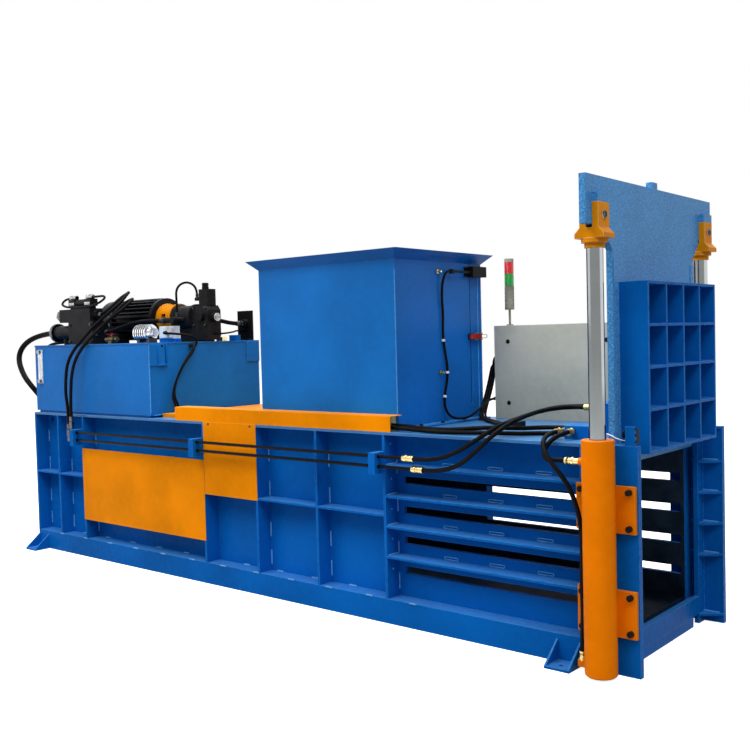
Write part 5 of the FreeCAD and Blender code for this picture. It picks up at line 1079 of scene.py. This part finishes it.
# %% Valve plugs, cap and flange
VALVE_Y, COIL_Z = -0.335, 1.829
coil = [
    (0, 0.077), (0.012, 0.077), (0.0175, 0.074), (0.0175, 0.052), (0.0160, 0.050),
    (0.0160, 0.046), (0.0185, 0.044), (0.0185, 0.006), (0.0160, 0), (0, 0),
]
coils = [facing((-1.960, VALVE_Y, COIL_Z), ALONG_X), facing((-1.681, VALVE_Y, COIL_Z), AGAINST_X)]
lathe("solenoid_plugs", coil, 20, coils, zinc)
for end, low in (("tail", -1.944), ("gate", -1.748)):
    plate = slab("coil_plate_" + end, (low, -0.3675, 1.772), (low + 0.066, -0.3665, 1.792), 0.0004)
    settled(plate, pale_plastic)
cap_spot = [facing((-2.066, VALVE_Y, 1.700), AGAINST_X, 0.3)]
cap = hexagon("valve_cap_hex", 0.076, 0.0, 0.034, 0.003)
copies(cap, "valve_cap", cap_spot, grey_iron)
PORT_Y, PORT_Z = -0.330, 1.578
ring = [(0.050, 0), (0.0685, 0), (0.0700, 0.004), (0.0700, 0.022), (0.0680, 0.028), (0.050, 0.028)]
ring_spot = [facing((-2.168, PORT_Y, PORT_Z), ALONG_X)]
lathe("suction_flange_ring", ring, 36, ring_spot, grey_iron, True)
ring_bolts = bolt_circle(-2.170, PORT_Y, PORT_Z, 0.048, 4)
copies(bolt_master("suction_bolt", 0.017, 0.012), "suction_bolts", ring_bolts, dark_steel)

# %% Cable glands
gland = [
    (0.009, 0), (0.0135, 0), (0.0135, 0.008), (0.0120, 0.010), (0.0120, 0.016),
    (0.0085, 0.024), (0.006, 0.024),
]
glands = [facing((-1.006, -0.2255, 1.555), AGAINST_Y), facing((-0.846, -0.150, 1.466), ALONG_X)]
lathe("cable_glands", gland, 16, glands, black_plastic, True)

# %% [markdown]
# ### Fixings of the tank, the cabinet, the tower and the hopper
# The tank carries a small blue bracket with a black stud, the cabinet has four plugged
# holes, the tower's stem is ridged, and white clips hold the cable on the hopper. They are
# small, but each is a dot or a line that the eye finds, so none is left as bare plate.

# %% Bracket on the tank
BRACKET_BACK, BRACKET_FRONT = -0.8630, -0.8480
for name, low, high in (
    ("left", (BRACKET_BACK, -0.424, 1.345), (BRACKET_FRONT, -0.414, 1.480)),
    ("right", (BRACKET_BACK, -0.352, 1.345), (BRACKET_FRONT, -0.342, 1.480)),
    ("foot", (BRACKET_BACK, -0.424, 1.338), (-0.8450, -0.342, 1.349)),
):
    settled(slab("tank_bracket_" + name, low, high, 0.0015), blue_enamel)
stud = [(0, 0.011), (0.006, 0.011), (0.009, 0.008), (0.010, 0), (0, 0)]
stud_spot = [facing((-0.8625, -0.383, 1.468), ALONG_X)]
lathe("tank_studs", stud, 16, stud_spot, black_plastic)

# %% Cabinet and tower
plug_cap = [(0, 0.003), (0.009, 0.003), (0.0125, 0.0015), (0.0130, 0), (0, 0)]
cabinet_plugs = [facing((x, 0.4199, z), AGAINST_Y) for x in (1.292, 1.908) for z in (1.092, 1.446)]
lathe("cabinet_plugs", plug_cap, 20, cabinet_plugs, black_plastic)
TOWER_X, TOWER_Y = 1.228, 0.550
ridge = [(0.024, 0), (0.0282, 0.001), (0.0288, 0.004), (0.0282, 0.007), (0.024, 0.008)]
ridges = [facing((TOWER_X, TOWER_Y, 1.640 + 0.022 * step), UPRIGHT) for step in range(6)]
lathe("tower_ridges", ridge, 28, ridges, grey_plastic, True)
crown = [(0, 0.012), (0.018, 0.010), (0.0255, 0.004), (0.0270, 0), (0, 0)]
crown_spot = [facing((TOWER_X, TOWER_Y, 1.9105), UPRIGHT)]
lathe("tower_top", crown, 28, crown_spot, red_lens)

# %% Clips, studs and latch on the hopper
clip = [
    (0.0066, 0), (0.0098, 0), (0.0102, 0.004), (0.0102, 0.009), (0.0098, 0.013), (0.0066, 0.013),
]
clips = [
    facing((1.1346, 0.004, 1.470), (0, 0.06, -1)),
    facing((1.1350, 0.034, 1.292), (0, 0.05, -1)),
    facing((1.1372, 0.006, 1.158), (0.04, -0.38, -1)),
]
lathe("cable_clips", clip, 18, clips, white_plastic, True)
pillar = [
    (0, 0.030), (0.0055, 0.030), (0.0065, 0.028), (0.0065, 0.009), (0.0115, 0.008),
    (0.0120, 0), (0, 0),
]
pillars = [facing((1.1232, y, z), ALONG_X) for y, z in ((-0.026, 1.842), (-0.019, 1.286))]
lathe("hopper_studs", pillar, 16, pillars, yellow_zinc)
bail = opened("bail")
bpy.ops.mesh.primitive_torus_add(
    major_segments=24, minor_segments=8, major_radius=0.0100, minor_radius=0.0021
)
pick(bail, lambda co: co.y > 0.0001)
bpy.ops.transform.translate(value=(0, 0.046, 0))
bpy.ops.mesh.select_all(action="SELECT")
bpy.ops.transform.rotate(value=math.pi / 2, orient_axis="Y", center_override=(0, 0, 0))
copies(bail, "latch_bail", [Matrix.Translation((1.1500, 0.3645, 1.480))], zinc, "hatch")
# A thin black strip along the hatch's edge is painted shade: the shadow in the narrow gap between
# hatch and frame.
gap_shade = slab("hatch_gap", (1.1231, 0.2858, 1.100), (1.1241, 0.2893, 1.880), 0.0003)
settled(gap_shade, rubber)

# %% [markdown]
# ### Gate end
# Each yoke's pin is locked by a dark ring, and the limit switch is a black body with a
# roller on a blue bracket, held by three black screws. The rings are set on the pins' own
# faces, read from the construction, so that they ride with the gate.

# %% Yoke pins and limit switch
pin_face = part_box("gate_pins")[1][0]
pin_ring = [
    (0, 0.001), (0.0105, 0.001), (0.0115, 0.0045), (0.0155, 0.0045), (0.0170, 0.0020),
    (0.0172, 0), (0, 0),
]
pins = [facing((pin_face - 0.0005, side * 0.585, 1.983), ALONG_X) for side in (-1, 1)]
lathe("pin_rings", pin_ring, 24, pins, dark_steel, body="gate")
switch_screws = [facing((2.4895, -0.500, z), ALONG_X, z * 9) for z in (1.020, 1.048, 1.074)]
screw = bolt_master("switch_screw", 0.010, 0.005)
copies(screw, "switch_screws", switch_screws, black_plastic)
roller = [(0, 0.010), (0.012, 0.010), (0.0175, 0.008), (0.0180, 0.002), (0.0160, 0), (0, 0)]
roller_spot = [facing((2.4335, -0.476, 1.048), AGAINST_X)]
lathe("switch_roller_face", roller, 24, roller_spot, black_plastic)

# %% [markdown]
# ## Studio
# A plain pale floor and a white surround. Both are white to the camera and to reflections,
# and duller where they light the object, because a surround that is as bright as it looks
# would wash out the paint. Three large soft lamps light the object, and two windows only
# show in its bright rods and edges.


# %% White to the eye, dull to the object
def shader(tree, kind, colour, strength=None):
    """A shader of one colour."""
    made = tree.nodes.new(kind)
    made.inputs["Color"].default_value = (*colour, 1)
    if strength is not None:
        made.inputs["Strength"].default_value = strength
    return made.outputs[0]


def joined(tree, kind, first, second, start=0):
    """A node that takes two links, from a socket of its inputs on."""
    made = tree.nodes.new(kind)
    tree.links.new(first, made.inputs[start])
    tree.links.new(second, made.inputs[start + 1])
    return made


def by_ray(tree, lighting, shown, output_kind):
    """One shader for the light on the object, another for camera, mirror and glass rays."""
    rays = tree.nodes.new("ShaderNodeLightPath").outputs
    seen = rays["Is Camera Ray"]
    for name in ("Is Glossy Ray", "Is Transmission Ray"):
        either = joined(tree, "ShaderNodeMath", seen, rays[name])
        either.operation = "MAXIMUM"
        seen = either.outputs[0]
    mixed = joined(tree, "ShaderNodeMixShader", lighting, shown, 1)
    tree.links.new(seen, mixed.inputs[0])
    tree.links.new(mixed.outputs[0], tree.nodes.new(output_kind).inputs[0])


def cleared(block):
    """The empty node tree of a world or a material."""
    block.use_nodes = True
    block.node_tree.nodes.clear()
    return block.node_tree


# %% Surround and floor
WHITE = (1, 1, 1)
scene = bpy.context.scene
scene.view_settings.view_transform = "Standard"
scene.world = bpy.data.worlds.new("surround")
tree = cleared(scene.world)
sky = shader(tree, "ShaderNodeBackground", (0.93, 0.96, 1.0), 0.38)
paper = shader(tree, "ShaderNodeBackground", WHITE, 1.0)
by_ray(tree, sky, paper, "ShaderNodeOutputWorld")

bpy.ops.object.select_all(action="DESELECT")
bpy.ops.mesh.primitive_plane_add(size=60, location=(0, 0, 0))
floor = bpy.context.object
floor.name = "studio_floor"
floor_finish = bpy.data.materials.new("studio_floor")
tree = cleared(floor_finish)
dull = shader(tree, "ShaderNodeBsdfDiffuse", (0.30, 0.31, 0.33))
matt = shader(tree, "ShaderNodeBsdfDiffuse", (0.86, 0.87, 0.88))
glow = shader(tree, "ShaderNodeEmission", WHITE, 0.85)
pale = joined(tree, "ShaderNodeAddShader", matt, glow).outputs[0]
by_ray(tree, dull, pale, "ShaderNodeOutputMaterial")
floor.data.materials.append(floor_finish)
print("floor and surround ready")


# %% Lamps
def lamp(name, place, target, size, watts, mirrored=True, lights=True):
    """A soft oblong lamp. One that doesn't light shows in reflections alone."""
    data = bpy.data.lights.new(name, "AREA")
    data.shape = "RECTANGLE"
    data.size, data.size_y = size
    data.energy = watts
    made = bpy.data.objects.new(name, data)
    bpy.context.scene.collection.objects.link(made)
    made.location = place
    made.rotation_euler = (Vector(target) - Vector(place)).to_track_quat("-Z", "Y").to_euler()
    made.visible_glossy = mirrored
    made.visible_diffuse = lights
    print(name, watts, "W")


lamp("key_lamp", (-1.3, -5.6, 7.8), (-0.3, 0, 1.0), (6.0, 4.0), 480)
lamp("gate_lamp", (8.5, -5.5, 11.5), (1.5, 0, 1.0), (6.0, 6.0), 820, mirrored=False)
lamp("top_lamp", (-0.5, 0.5, 7.0), (0, 0, 1.0), (6.0, 5.0), 560)
lamp("right_window", (10.5, 5.0, 3.0), (2.4, 0, 1.4), (11.0, 5.0), 260, lights=False)
lamp("left_window", (-6.8, -4.8, 3.4), (2.4, 0, 1.4), (8.0, 3.6), 110, lights=False)
